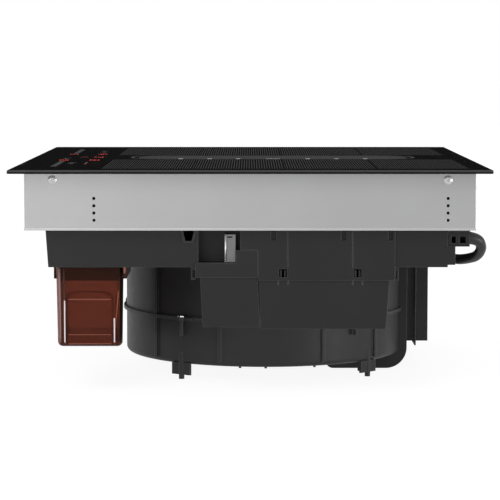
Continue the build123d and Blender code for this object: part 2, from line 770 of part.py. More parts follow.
with BuildPart() as intake_duct:
    box_x = DUCT_BOX_W / 2
    block((-box_x, box_x), (duct_front, duct_back), box_z)
    block(
        (SCROLL_WALL - box_x, box_x - SCROLL_WALL),
        (duct_front + SCROLL_WALL, duct_back - SCROLL_WALL),
        (box_z[0], box_z[1] - SCROLL_WALL),
        mode=Mode.SUBTRACT,
    )
    neck_r = frame_r + BODY_GAP
    rounded((-duct_x, duct_x), (duct_front, duct_back), neck_z, neck_r + INLET_WALL)
    neck_x = duct_x - INLET_WALL
    neck_y = (duct_front + INLET_WALL, duct_back - INLET_WALL)
    bore_z = (box_z[1] - SCROLL_WALL, neck_z[1])
    rounded((-neck_x, neck_x), neck_y, bore_z, neck_r, mode=Mode.SUBTRACT)
    drain_z = z_housing + HOUSING_WALL + DRAIN_R + DRAIN_WALL
    with BuildSketch(Plane.XZ.offset(-duct_front)) as spout:
        with Locations((60, drain_z)):
            Circle(DRAIN_R)
    extrude(spout.sketch, amount=-2 * SCROLL_WALL, mode=Mode.SUBTRACT)
write("intake_duct", intake_duct.part)

# Drain hose from the air box to the tank's collar
with BuildPart() as drain_hose:
    hose_r = DRAIN_R + DRAIN_WALL
    with BuildLine() as hose_line:
        FilletPolyline(
            (60, duct_front, drain_z),
            (60, drain[1], drain_z),
            (drain[0], drain[1], drain_z),
            (drain[0], drain[1], z_housing),
            radius=[14, drain_z - z_housing - 0.5],
        )
    with BuildSketch(Plane(origin=(60, duct_front, drain_z), z_dir=(0, -1, 0))):
        Circle(hose_r - 0.2)
        Circle(DRAIN_R - 0.2, mode=Mode.SUBTRACT)
    sweep(path=hose_line.line)
write("drain_hose", drain_hose.part)

# Electronics box, its cover strip, the connection box and the boards in them
z_box = z_housing - BOX_H
z_box_rim = z_housing - BOX_RIM_H
z_cover = z_housing - COVER_DROP
z_clip = z_cover + CLIP_LIFT
z_lower_box = z_cover - LOWER_BOX_H
face = (housing_x, box_face_x)
cover_y0 = BOX_Y1 + PIECE_GAP

with BuildPart() as electronics_box:
    outer_x = (box_inner_x, housing_x + 1)
    box_y = (BOX_Y0, BOX_Y1)
    drafted(outer_x, box_y, (z_box, z_cover), BOX_LEAN)
    block(outer_x, box_y, (z_cover, z_housing))
    block((box_inner_x, box_face_x), (BOX_Y0 - BOX_RIM_OUT, BOX_Y1), (z_box_rim, z_housing))
    block(face, (BOX_Y0 - BOX_RIM_OUT, BOX_Y1), (z_housing, z_recess - 0.6))
    block(face, (RECESS_Y1 - 4.6, BOX_Y1), (z_housing, z_housing + TONGUE_H))
    inside_x = (box_inner_x + BOX_WALL, housing_x + 1 - BOX_WALL)
    inside_y = (BOX_Y0 + BOX_WALL, BOX_Y1 - BOX_WALL)
    drafted(inside_x, inside_y, (z_box + BOX_WALL, z_cover), BOX_LEAN, mode=Mode.SUBTRACT)
    block(inside_x, inside_y, (z_cover, z_housing), mode=Mode.SUBTRACT)
    hook_y = (BOX_Y0 - BOX_RIM_OUT - HOOK_OUT, BOX_Y0 - BOX_RIM_OUT)
    hook_x = (housing_x - HOOK_W, housing_x)
    block(hook_x, hook_y, (z_housing - HOOK_H, z_housing - 0.4))
    window_y = (hook_y[0] + 1.5, hook_y[1])
    block(hook_x, window_y, (z_housing - HOOK_H + 2, z_housing - 3), mode=Mode.SUBTRACT)
write("electronics_box", electronics_box.part)

with BuildPart() as electronics_cover:
    block((box_inner_x, box_face_x), (cover_y0, COVER_Y1), (z_cover, z_housing))
    block(face, (cover_y0, COVER_Y1), (z_housing, z_tray - 1.2))
    block(face, (RECESS_Y1, cover_y0), (z_housing + TONGUE_H + PIECE_GAP, z_tray - 1.2))
    block(
        (box_inner_x + BOX_WALL, box_face_x - BOX_WALL),
        (cover_y0 + BOX_WALL, COVER_Y1 - BOX_WALL),
        (z_cover, z_housing),
        mode=Mode.SUBTRACT,
    )
    for y in SEAM_YS:
        groove = (box_face_x - 0.6, box_face_x)
        block(groove, (y - 0.4, y + 0.4), (z_housing, z_tray), mode=Mode.SUBTRACT)
    for y in NOTCH_YS:
        slot = (y - NOTCH_SIZE[0] / 2, y + NOTCH_SIZE[0] / 2)
        block(face, slot, (z_tray - NOTCH_SIZE[1], z_tray), mode=Mode.SUBTRACT)
    for y in CLIP_YS:
        window = (y - CLIP_W / 2, y + CLIP_W / 2)
        wall = (box_face_x - BOX_WALL, box_face_x)
        block(wall, window, (z_clip, z_clip + CLIP_H), mode=Mode.SUBTRACT)
    end_hook_x = (housing_x - END_HOOK[0], housing_x)
    end_hook_y = (COVER_Y1, COVER_Y1 + END_HOOK[1])
    block(end_hook_x, end_hook_y, (z_housing - 0.4 - END_HOOK[2], z_housing - 0.4))
    gap_y = (COVER_Y1, COVER_Y1 + END_HOOK[1] - END_HOOK_WALL)
    gap_z = (z_housing - END_HOOK[2] + END_HOOK_WALL, z_housing - 3)
    block(end_hook_x, gap_y, gap_z, mode=Mode.SUBTRACT)
write("electronics_cover", electronics_cover.part)

with BuildPart() as connection_box:
    lower_x = (box_inner_x, housing_x + 0.6)
    lower_y = (cover_y0 + 0.6, LOWER_BOX_Y1)
    drafted(lower_x, lower_y, (z_lower_box, z_cover), LOWER_BOX_LEAN)
    drafted(
        (lower_x[0] + BOX_WALL, lower_x[1] - BOX_WALL),
        (lower_y[0] + BOX_WALL, lower_y[1] - BOX_WALL),
        (z_lower_box + BOX_WALL, z_cover),
        LOWER_BOX_LEAN,
        mode=Mode.SUBTRACT,
    )
    prong_x = (lower_x[1] - BOX_WALL, lower_x[1])
    rib_x = (lower_x[1] - 1, lower_x[1] + 1)
    for y in CLIP_YS:
        for side in (-1, 1):
            prong = sorted((y + side * 1.4, y + side * 3.4))
            block(prong_x, prong, (z_cover - 2, z_clip + CLIP_H - 1.5))
            rib = sorted((y + side * 4.6, y + side * 6.0))
            block(rib_x, rib, (z_cover - 5, z_cover - 0.3))
write("connection_box", connection_box.part)

with BuildPart() as blower_board:
    board_x = box_inner_x + BLOWER_BOARD_X
    board_y = (BOX_Y0 + BLOWER_BOARD_INSET, BOX_Y1 - BLOWER_BOARD_INSET)
    block((board_x, board_x + BOARD_T), board_y, (z_box + BOX_WALL, z_box + BOX_WALL + BLOWER_BOARD_H))
    relay_z = (z_box + RELAY, z_box + 2 * RELAY)
    block((board_x, board_x + RELAY), (board_y[0] + RELAY / 2, board_y[0] + 1.5 * RELAY), relay_z)
write("blower_board", blower_board.part)

with BuildPart() as mains_filter_board:
    board_z = z_lower_box + BOX_WALL
    board_x = (box_inner_x + MAINS_BOARD_INSET, housing_x - MAINS_BOARD_INSET)
    board_y = (cover_y0 + MAINS_BOARD_INSET, LOWER_BOX_Y1 - MAINS_BOARD_INSET)
    block(board_x, board_y, (board_z, board_z + BOARD_T))
    choke_x = (board_x[0] + board_x[1]) / 2
    choke_y = (board_y[0] * 3 + board_y[1]) / 4
    choke = (-CHOKE_SIZE / 2, CHOKE_SIZE / 2)
    block([choke_x + x for x in choke], [choke_y + y for y in choke], (board_z, board_z + CHOKE_H))
    rod(choke_x, (board_y[0] + board_y[1] * 3) / 4, (board_z, board_z + CHOKE_H), CHOKE_SIZE / 2)
write("mains_filter_board", mains_filter_board.part)

# Bare steel bracket in the recess: a channel with a foot lip and a slot
with BuildPart() as fixing_bracket:
    bracket_y = (-29.4, -17.0)
    bracket_z = (z_recess, z_tray - 6.2)
    plate_x = housing_x - RECESS_DEPTH
    block((plate_x, housing_x - 10), bracket_y, (bracket_z[0], bracket_z[1]))
    block(
        (plate_x, housing_x - 10 - SHEET),
        (bracket_y[0] + SHEET, bracket_y[1] + 1),
        (bracket_z[0] + SHEET, bracket_z[1] + 1),
        mode=Mode.SUBTRACT,
    )
    block((housing_x - 10, housing_x - 6), bracket_y, (bracket_z[0], bracket_z[0] + SHEET))
    slot_y = ((bracket_y[0] + bracket_y[1]) / 2 - 2.6, (bracket_y[0] + bracket_y[1]) / 2 + 2.6)
    slot_z = (bracket_z[1] - 3.6, bracket_z[1] - 2.2)
    block((housing_x - 12, housing_x - 9), slot_y, slot_z, mode=Mode.SUBTRACT)
write("fixing_bracket", fixing_bracket.part)

# Terminal box at the back right, with the cable gland in its back face
z_terminal = z_tray - TERMINAL_DROP
terminal_x0 = housing_x - TERMINAL_W
cable_x = housing_x - CABLE_INSET
z_cable = z_tray - CABLE_DROP
cable_exit = (cable_x, HOUSING_LIP_BACK - GLAND_DEPTH, z_cable)
with BuildPart() as terminal_box:
    box_top = z_tray - HOUSING_LIP_T
    back = HOUSING_LIP_BACK - 0.4
    block((terminal_x0, housing_x - HOUSING_WALL), (TERMINAL_Y0, back), (z_terminal, box_top))
    block(
        (terminal_x0 + 2, housing_x - HOUSING_WALL - TERMINAL_WALL),
        (TERMINAL_Y0 + 2, back - 2),
        (z_terminal + 1.6, box_top),
        mode=Mode.SUBTRACT,
    )
    terminal_side = (housing_x - HOUSING_WALL - TERMINAL_WALL - 1, housing_x - HOUSING_WALL)
    for window_y in TERMINAL_WINDOWS:
        window_z = (z_terminal + TERMINAL_WINDOW_Z[0], z_terminal + TERMINAL_WINDOW_Z[1])
        block(terminal_side, window_y, window_z, mode=Mode.SUBTRACT)
    with BuildSketch(Plane.XZ.offset(-back)) as port:
        with Locations((cable_x, z_cable)):
            Circle(GLAND_R)
    extrude(port.sketch, amount=6, both=True, mode=Mode.SUBTRACT)
write("terminal_box", terminal_box.part)

with BuildPart() as cable_gland:
    gland_plane = Plane(origin=cable_exit, z_dir=(0, 1, 0))
    with BuildSketch(gland_plane):
        Circle(GLAND_R - 0.1)
        Circle(CORD_R + 0.1, mode=Mode.SUBTRACT)
    extrude(amount=GLAND_DEPTH)
    with BuildSketch(gland_plane):
        Circle(CORD_R)
    extrude(amount=-9)
write("cable_gland", cable_gland.part)

# Mains cable: a hand-chosen route from the gland to the coil on the floor
z_lying = CORD_R + TIE_T + 0.3
coil_entry = (COIL_CENTRE[0] + COIL_START_R + COIL_STEP / 2, COIL_CENTRE[1], z_lying)
CORD_ROUTE = (
    cable_exit,
    (cable_x, 248.2, z_cable),
    (cable_x - 6.4, 257.0, 162.2),
    (cable_x - 20.0, 251.8, 150.4),
    (cable_x - 37.0, 242.0, 145.8),
    (cable_x - 58.0, 235.0, 143.0),
    (cable_x - 88.0, 231.6, 141.0),
    (108.0, 232.4, 139.0),
    (54.0, 230.0, 138.0),
    (-2.0, 231.5, 137.0),
    (-58.0, 229.0, 137.5),
    (-110.0, 229.6, 138.5),
    (-154.0, 226.0, 137.0),
    (-190.0, 219.0, 128.0),
    (-212.0, 210.0, 106.0),
    (-221.0, 204.0, 76.0),
    (-224.0, 198.0, 44.0),
    (-226.0, 184.0, 18.0),
    (-224.0, 158.0, z_lying),
    (-217.0, 122.0, z_lying),
    (-207.5, 80.0, z_lying),
    (-202.0, 40.0, z_lying),
    (coil_entry[0], 12.0, z_lying),
    coil_entry,
)


def route_radii(points):
    """Corner radii: 0.45 of the shorter run over the tangent of half the turn."""
    radii = []
    for before, here, after in zip(points, points[1:], points[2:]):
        run_in = Vector(here) - Vector(before)
        run_out = Vector(after) - Vector(here)
        half_turn = radians(run_in.get_angle(run_out)) / 2
        radii.append(0.45 * min(run_in.length, run_out.length) / tan(half_turn))
    return radii


cord_radii = route_radii(CORD_ROUTE)
with BuildPart() as power_cord:
    with BuildLine() as cord_line:
        FilletPolyline(*CORD_ROUTE, radius=cord_radii)
    with BuildSketch(Plane(origin=CORD_ROUTE[0], z_dir=(0, 1, 0))):
        Circle(CORD_R)
    cord_wire = cord_line.wire()
    sweep(path=cord_wire)
write("power_cord", power_cord.part)
free_length = cord_wire.length
print("cord radii", [round(r, 1) for r in cord_radii])
print("cord length", round(free_length, 1))
print("cord volume over section", round(power_cord.part.volume / (pi * CORD_R**2), 1))


def coil_radius(turns):
    """Radius of the coil after so many turns: it spirals in, then out again."""
    climbed = COIL_TURNS_IN + COIL_CLIMB
    inward = min(turns, climbed)
    outward = max(turns - climbed, 0)
    return COIL_START_R + COIL_STEP * (0.5 - inward + outward)


def coil_point(turns):
    """Place on the coil after so many turns; it climbs a layer before it turns out."""
    radius = coil_radius(turns)
    rise = min(max((turns - COIL_TURNS_IN) / COIL_CLIMB, 0), 1)
    z = z_lying + COIL_STEP * rise * rise * (3 - 2 * rise)
    angle = -2 * pi * turns
    return Vector(COIL_CENTRE[0] + radius * cos(angle), COIL_CENTRE[1] + radius * sin(angle), z)


def coil_tangent(turns):
    """Direction of the coil at a point, from two places close to it."""
    if turns == 0:
        return Vector(0, -1, 0)
    return (coil_point(turns + 1e-4) - coil_point(turns - 1e-4)).normalized()


def biarc_joint(start, start_dir, end, end_dir):
    """Where the two equal-reach arcs that join two points meet, and the heading there."""
    span = end - start
    both = start_dir + end_dir
    spread = 2 * (1 - start_dir.dot(end_dir))
    along = span.dot(both)
    reach = (sqrt(along * along + spread * span.dot(span)) - along) / spread
    joint = (start + end + (start_dir - end_dir) * reach) * 0.5
    return joint, joint - (start + start_dir * reach)


coil_steps = ceil(COIL_TURNS * 4)
coil_marks = [COIL_TURNS * i / coil_steps for i in range(coil_steps + 1)]
with BuildPart() as cord_coil:
    with BuildLine() as coil_line:
        for first, last in zip(coil_marks, coil_marks[1:]):
            start = coil_point(first)
            end = coil_point(last)
            joint, heading = biarc_joint(start, coil_tangent(first), end, coil_tangent(last))
            TangentArc(start, joint, tangent=coil_tangent(first))
            TangentArc(joint, end, tangent=heading)
    with BuildSketch(Plane(origin=coil_point(0), z_dir=(0, -1, 0))):
        Circle(CORD_R)
    coil_wire = coil_line.wire()
    sweep(path=coil_wire)
write("cord_coil", cord_coil.part)
coil_length = coil_wire.length
samples = [coil_wire @ (i / 400) for i in range(401)]
gap = min(
    (a - b).length
    for i, a in enumerate(samples)
    for b in samples[i + 60 :]
)
print("coil length", round(coil_length, 1), "whole cord", round(free_length + coil_length, 1))
print("coil least gap to itself", round(gap - 2 * CORD_R, 2))
print("coil volume over section", round(cord_coil.part.volume / (pi * CORD_R**2), 1))

with BuildPart() as coil_tie:
    tie_x = COIL_CENTRE[0]
    inner_r = coil_radius(1.5) - CORD_R - 0.2
    outer_r = coil_radius(0.5) + CORD_R + 0.2
    top = z_lying + COIL_STEP + CORD_R
    span = (tie_x - outer_r, tie_x - inner_r)
    width = (COIL_CENTRE[1] - TIE_W / 2, COIL_CENTRE[1] + TIE_W / 2)
    block((span[0] - TIE_T, span[1] + TIE_T), width, (0.1, top + 0.3 + TIE_T))
    block(span, width, (0.1 + TIE_T, top + 0.3), mode=Mode.SUBTRACT)
write("coil_tie", coil_tie.part)

with BuildPart() as core_ends:
    end = coil_wire @ 1
    heading = coil_wire % 1
    core_plane = Plane(origin=end, z_dir=heading)
    with BuildSketch(core_plane):
        with PolarLocations(CORD_R / 2, 3):
            Circle(CORE_R)
    extrude(amount=CORE_L)
write("core_ends", core_ends.part)


# Scroll casing of the blower
def scroll_outline(grow):
    """Casing outline seen from above: a near circle that opens to the outlet."""
    radius = SCROLL_R + grow
    wide = radius + SCROLL_GROWTH
    wide_y = SCROLL_Y + SCROLL_GROWTH
    edge = OUTLET_X - grow
    join = JOIN_Y + grow
    meet_y = SCROLL_Y + sqrt(radius**2 - edge**2)
    with BuildSketch() as outline:
        with BuildLine():
            CenterArc((0, SCROLL_Y), radius, -90, 90 + degrees(atan2(meet_y - SCROLL_Y, edge)))
            CenterArc((0, wide_y), wide, 180, 90)
            Line((-wide, wide_y), (-wide, join))
            Line((-wide, join), (edge, join))
            Line((edge, join), (edge, meet_y))
        make_face()
    return outline.sketch


def scroll_angle_spot(angle, extra):
    """Point on the casing wall at an angle, from the centre of that side's arc."""
    near = -90 < angle < 90
    centre_y = SCROLL_Y if near else SCROLL_Y + SCROLL_GROWTH
    radius = (SCROLL_R if near else SCROLL_R + SCROLL_GROWTH) + extra
    return (radius * cos(radians(angle)), centre_y + radius * sin(radians(angle)))


def upright_rib(angle, z):
    """Add a narrow rib on the outside of the casing wall to the open part."""
    spot = scroll_angle_spot(angle, 0)
    rib_plane = Plane(origin=(spot[0], spot[1], z[0]), x_dir=(cos(radians(angle)), sin(radians(angle)), 0))
    with BuildSketch(rib_plane) as rib:
        Rectangle(2 * RIB_OUT, RIB_W)
    extrude(rib.sketch, amount=z[1] - z[0])


def post_lug(angle, z):
    """Add the tab beside a screw post to the open half, as thick as its flange."""
    spot = scroll_angle_spot(angle + POST_LUG_TURN, SCROLL_FLANGE)
    lug_plane = Plane(origin=(*spot, z), x_dir=(cos(radians(angle)), sin(radians(angle)), 0))
    with BuildSketch(lug_plane) as lug:
        Rectangle(2 * POST_R, POST_LUG_W)
    extrude(lug.sketch, amount=SCROLL_FLANGE_T)


def scroll_block(grow, z, corner):
    """A solid of the casing's outline between two levels, with a round lower edge."""
    with BuildPart(mode=Mode.PRIVATE) as body:
        extrude(Plane.XY.offset(z[0]) * scroll_outline(grow), amount=z[1] - z[0])
        if corner:
            rim = body.faces().sort_by(Axis.Z)[0].edges()
            fillet(rim.filter_by(lambda edge: edge.center().Y < JOIN_Y - 1), corner)
    return body.part


def scroll_shell(floor_z, height, wall_z, flange_z, corner=0):
    """Add a casing half to the open part: skin, then its hollow, then its flange."""
    add(scroll_block(0, (floor_z, floor_z + height), corner))
    inner = max(corner - SCROLL_WALL, 0)
    add(scroll_block(-SCROLL_WALL, wall_z, inner), mode=Mode.SUBTRACT)
    rim = scroll_outline(SCROLL_FLANGE) - scroll_outline(-SCROLL_WALL / 2)
    extrude(Plane.XY.offset(flange_z) * rim, amount=SCROLL_FLANGE_T)
    clear = (-SCROLL_R - SCROLL_GROWTH - 20, OUTLET_X)
    block(clear, (JOIN_Y, JOIN_Y + 60), (floor_z, floor_z + height), mode=Mode.SUBTRACT)
    mouth = (SCROLL_WALL - SCROLL_R - SCROLL_GROWTH, OUTLET_X - SCROLL_WALL)
    block(mouth, (JOIN_Y - 4, JOIN_Y + 1), wall_z, mode=Mode.SUBTRACT)


all_posts = POST_ANGLES + FAR_POST_ANGLES
lower_wall = (z_volute + SCROLL_WALL, z_parting)
upper_wall = (z_parting, z_housing - SCROLL_WALL)

with BuildPart() as volute_lower:
    flange_z = z_parting - SCROLL_FLANGE_T
    scroll_shell(z_volute, VOLUTE_LOWER_H, lower_wall, flange_z, SCROLL_CORNER_R)
    for angle in NEAR_RIBS + FAR_RIBS:
        upright_rib(angle, (z_volute + SCROLL_CORNER_R * 0.8, flange_z))
    for angle in NUB_ANGLES:
        spot = scroll_angle_spot(angle, -SCROLL_CORNER_R)
        rod(*spot, (z_volute - NUB_R, z_volute + SCROLL_WALL), NUB_R)
    for angle in all_posts:
        spot = scroll_angle_spot(angle, SCROLL_FLANGE + POST_R)
        rod(*spot, (z_parting - SCROLL_FLANGE_T, z_parting), POST_BOSS_R)
        rod(*spot, (z_parting - POST_DROP, z_parting), POST_R)
        post_lug(angle, z_parting - SCROLL_FLANGE_T)
    for angle in FOOT_ANGLES + (FAR_FOOT_ANGLE,):
        spot = scroll_angle_spot(angle, -FOOT_PIN_R / 2)
        rod(*spot, (0, z_volute + 14), FOOT_PIN_R)
        x_dir = (cos(radians(angle)), sin(radians(angle)), 0)
        wing_plane = Plane(origin=(spot[0], spot[1], FOOT_WING_LIFT), x_dir=x_dir)
        with BuildSketch(wing_plane) as wing:
            Rectangle(3, FOOT_WING_W)
            with Locations((-7, 0)):
                Rectangle(14, 3)
        extrude(wing.sketch, amount=z_volute + 1 - FOOT_WING_LIFT)
    rod(0, SCROLL_Y, (z_volute, z_volute + WHEEL_LIFT / 2), HUB_R)
write("volute_lower", volute_lower.part)

with BuildPart() as volute_upper:
    scroll_shell(z_parting, VOLUTE_UPPER_H, upper_wall, z_parting)
    rod(0, SCROLL_Y, (z_housing - 9, z_housing), EYE_R + SCROLL_WALL)
    rod(0, SCROLL_Y, (z_parting, z_housing), EYE_R, mode=Mode.SUBTRACT)
    for angle in NEAR_RIBS + FAR_RIBS:
        upright_rib(angle, (z_parting + SCROLL_FLANGE_T, z_housing))
    for angle in all_posts:
        spot = scroll_angle_spot(angle, SCROLL_FLANGE + POST_R)
        rod(*spot, (z_parting, z_parting + SCROLL_FLANGE_T), POST_BOSS_R)
        post_lug(angle, z_parting)
write("volute_upper", volute_upper.part)

with BuildPart() as volute_screws:
    for angle in all_posts:
        spot = scroll_angle_spot(angle, SCROLL_FLANGE + POST_R)
        z_head = z_parting + SCROLL_FLANGE_T
        rod(*spot, (z_head, z_head + 1.6), SCREW_HEAD_R)
write("volute_screws", volute_screws.part)

# Motor under the impeller's cup, its two bearings and the shaft
z_motor = z_volute + SCROLL_WALL
z_wheel = z_motor + WHEEL_LIFT
z_cup = z_wheel + CUP_H
bearing_zs = (z_motor + 6, z_motor + MOTOR_H - BEARING_T)

with BuildPart() as blower_motor:
    rod(0, SCROLL_Y, (z_motor + WHEEL_LIFT / 2 - SCROLL_WALL, z_motor + MOTOR_H), MOTOR_R)
    rod(0, SCROLL_Y, (z_volute, z_motor + MOTOR_H), BEARING_R, mode=Mode.SUBTRACT)
write("blower_motor", blower_motor.part)

with BuildPart() as motor_bearings:
    for z in bearing_zs:
        rod(0, SCROLL_Y, (z, z + BEARING_T), BEARING_R)
        rod(0, SCROLL_Y, (z, z + BEARING_T), SHAFT_R + SHAFT_CLEARANCE, mode=Mode.SUBTRACT)
write("motor_bearings", motor_bearings.part)

with BuildPart() as blower_shaft:
    rod(0, SCROLL_Y, (z_motor + 4, z_cup + 12), SHAFT_R)
write("blower_shaft", blower_shaft.part)

with BuildPart() as impeller:
    with BuildSketch(Plane.XY.offset(z_wheel)) as back_plate:
        with Locations((0, SCROLL_Y)):
            Circle(WHEEL_R)
            Circle(CUP_R - 1, mode=Mode.SUBTRACT)
    extrude(back_plate.sketch, amount=WHEEL_PLATE_T)
    rod(0, SCROLL_Y, (z_wheel, z_cup), CUP_R)
    cup_bore = (z_wheel, z_cup - WHEEL_PLATE_T)
    rod(0, SCROLL_Y, cup_bore, CUP_R - WHEEL_PLATE_T, mode=Mode.SUBTRACT)
    rod(0, SCROLL_Y, (z_cup - WHEEL_PLATE_T, z_cup + 10), HUB_R)
    blade_mid = (WHEEL_R + BLADE_INNER_R) / 2
    blade_reach = WHEEL_R - BLADE_INNER_R
    with BuildSketch(Plane.XY.offset(z_wheel)) as blades:
        with Locations((0, SCROLL_Y)):
            with PolarLocations(blade_mid, BLADES):
                Rectangle(blade_reach * 0.96, BLADE_T, rotation=35)
    extrude(blades.sketch, amount=WHEEL_H)
    with BuildSketch(Plane.XY.offset(z_wheel + WHEEL_H - WHEEL_RING_T)) as ring:
        with Locations((0, SCROLL_Y)):
            Circle(WHEEL_R + 1)
            Circle(BLADE_INNER_R + 3, mode=Mode.SUBTRACT)
    extrude(ring.sketch, amount=WHEEL_RING_T)
    rod(0, SCROLL_Y, (z_wheel, z_cup + 10), SHAFT_R, mode=Mode.SUBTRACT)
write("impeller", impeller.part)

# Outlet collector: a flat box behind the scroll, with a foot under it
collector_x = (-SCROLL_R - SCROLL_GROWTH, OUTLET_X)


def collector_profile(inset):
    """Side outline of the collector, moved inwards by a wall."""
    back = COLLECTOR_BACK - inset
    toe = COLLECTOR_FOOT_FRONT + inset
    low = inset
    top = z_housing - inset
    shelf = z_volute - inset
    corner = COLLECTOR_CORNER_R - inset
    tip = COLLECTOR_TOE_R - inset
    join = JOIN_Y + inset
    with BuildSketch(Plane.YZ) as profile:
        with BuildLine():
            Line((join, top), (back, top))
            Line((back, top), (back, low + corner))
            CenterArc((back - corner, low + corner), corner, 0, -90)
            Line((back - corner, low), (toe + tip, low))
            CenterArc((toe + tip, low + tip), tip, 270, -90)
            Line((toe, low + tip), (toe, shelf))
            Line((toe, shelf), (join, shelf))
            Line((join, shelf), (join, top))
        make_face()
    return profile.sketch


with BuildPart() as outlet_collector:
    width = collector_x[1] - collector_x[0]
    extrude(Pos(collector_x[0], 0, 0) * collector_profile(0), amount=width)
    hollow = Pos(collector_x[0] + SCROLL_WALL, 0, 0) * collector_profile(SCROLL_WALL)
    extrude(hollow, amount=width - 2 * SCROLL_WALL, mode=Mode.SUBTRACT)
    inside_x = (collector_x[0] + SCROLL_WALL, collector_x[1] - SCROLL_WALL)
    inside_z = (z_volute + SCROLL_WALL, z_housing - SCROLL_WALL)
    block(inside_x, (JOIN_Y - 1, JOIN_Y + SCROLL_WALL + 1), inside_z, mode=Mode.SUBTRACT)
    spigot_x = (collector_x[1] - SPIGOT_INSET - SPIGOT_W, collector_x[1] - SPIGOT_INSET)
    spigot_z = (SPIGOT_Z - SPIGOT_H / 2, SPIGOT_Z + SPIGOT_H / 2)
    back_wall = (COLLECTOR_BACK - SCROLL_WALL - 1, COLLECTOR_BACK + 1)
    block(spigot_x, back_wall, spigot_z, mode=Mode.SUBTRACT)
write("outlet_collector", outlet_collector.part)

with BuildPart() as outlet_spigot:
    mouth_y = COLLECTOR_BACK + SPIGOT_REACH
    block(spigot_x, (COLLECTOR_BACK - SCROLL_WALL, mouth_y), spigot_z)
    flange_y = COLLECTOR_BACK + SPIGOT_NECK
    block(
        (spigot_x[0] - SPIGOT_FLANGE_OUT, spigot_x[1] + SPIGOT_FLANGE_OUT),
        (flange_y, flange_y + SPIGOT_FLANGE_T),
        (spigot_z[0] - SPIGOT_FLANGE_OUT, spigot_z[1] + SPIGOT_FLANGE_OUT),
    )
    block(
        (spigot_x[0] + SPIGOT_WALL, spigot_x[1] - SPIGOT_WALL),
        (COLLECTOR_BACK - SCROLL_WALL, mouth_y),
        (spigot_z[0] + SPIGOT_WALL, spigot_z[1] - SPIGOT_WALL),
        mode=Mode.SUBTRACT,
    )
write("outlet_spigot", outlet_spigot.part)

# Drain tank that pulls down off its collar, with a seal between them
z_tank_top = z_housing - SEAL_T - BODY_GAP
z_tank = z_tank_top - TANK_H + SEAL_T
collar_out = TANK_WALL + SLIDE_CLEARANCE


def tank_outline(z, inset):
    """The tank seen from above, moved in by an inset; its back wall closes in away from +X."""
    with BuildSketch(Plane.XY.offset(z)) as outline:
        with BuildLine():
            Polyline(
                (TANK_X0, TANK_Y0),
                (TANK_X1, TANK_Y0),
                (TANK_X1, TANK_Y1),
                (TANK_X0, TANK_Y1 - TANK_NARROW),
                close=True,
            )
        make_face()
        fillet(outline.vertices(), TANK_CORNER_R)
        if inset:
            offset(amount=-inset, mode=Mode.REPLACE)
    return outline.sketch


with BuildPart() as drain_tank:
    extrude(tank_outline(z_tank_top, 0), amount=z_tank - z_tank_top, taper=TANK_DRAFT)
    lower_rim = drain_tank.faces().sort_by(Axis.Z)[0].edges()
    fillet(lower_rim, TANK_CORNER_R * 0.7)
    ear_z = (z_tank_top - TANK_EAR_H, z_tank_top)
    ear_x = (TANK_X1 - TANK_EAR_SPAN, TANK_X1 - TANK_CORNER_R)
    block(ear_x, (TANK_Y0 - TANK_EAR_OUT, TANK_Y0 + 1), ear_z)
    ear_back = TANK_Y1 - TANK_NARROW * TANK_EAR_SPAN / (TANK_X1 - TANK_X0)
    block(ear_x, (ear_back - 1, TANK_Y1 + TANK_EAR_OUT), ear_z)
    face_lean = radians(TANK_DRAFT)
    face_plane = Plane(
        origin=(TANK_X1, 0, z_tank_top),
        x_dir=(0, 1, 0),
        z_dir=(cos(face_lean), 0, -sin(face_lean)),
    )
    arch_w = TANK_Y1 - TANK_Y0 - 2 * PANEL_INSET
    with BuildSketch(face_plane) as arch:
        with Locations(((TANK_Y0 + TANK_Y1) / 2, -PANEL_DROP - PANEL_H / 2)):
            RectangleRounded(arch_w, PANEL_H, TANK_CORNER_R)
    extrude(arch.sketch, amount=-TANK_PANEL, mode=Mode.SUBTRACT)
    hollow = tank_outline(z_tank_top, TANK_WALL)
    depth = z_tank + TANK_WALL - z_tank_top
    extrude(hollow, amount=depth, taper=TANK_DRAFT, mode=Mode.SUBTRACT)
write("drain_tank", drain_tank.part)

collar_top = z_housing - SEAL_T
with BuildPart() as tank_collar:
    extrude(tank_outline(z_housing, collar_out), amount=-COLLAR_H - SEAL_T, taper=TANK_DRAFT)
    inside = tank_outline(z_housing - COLLAR_WALL, collar_out + COLLAR_WALL)
    bore = collar_top - COLLAR_H - z_housing + COLLAR_WALL
    extrude(inside, amount=bore, taper=TANK_DRAFT, mode=Mode.SUBTRACT)
    rod(*drain, (z_housing - COLLAR_WALL, z_housing), DRAIN_R, mode=Mode.SUBTRACT)
write("tank_collar", tank_collar.part)

with BuildPart() as tank_seal:
    extrude(tank_outline(collar_top, 0), amount=SEAL_T)
    extrude(tank_outline(collar_top, collar_out), amount=SEAL_T, mode=Mode.SUBTRACT)
write("tank_seal", tank_seal.part)
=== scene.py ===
"""Looks of a downdraft induction cooktop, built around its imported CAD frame.

Everything is in metres in the frame's own axes: +X is the user's right, +Y the
back and Z = 0 the plane under the blower's feet. The file is laid out as an
add-on: property groups hold the sizes and colours, one operator makes each
piece or group of pieces, and main() runs them in order.
"""

import math

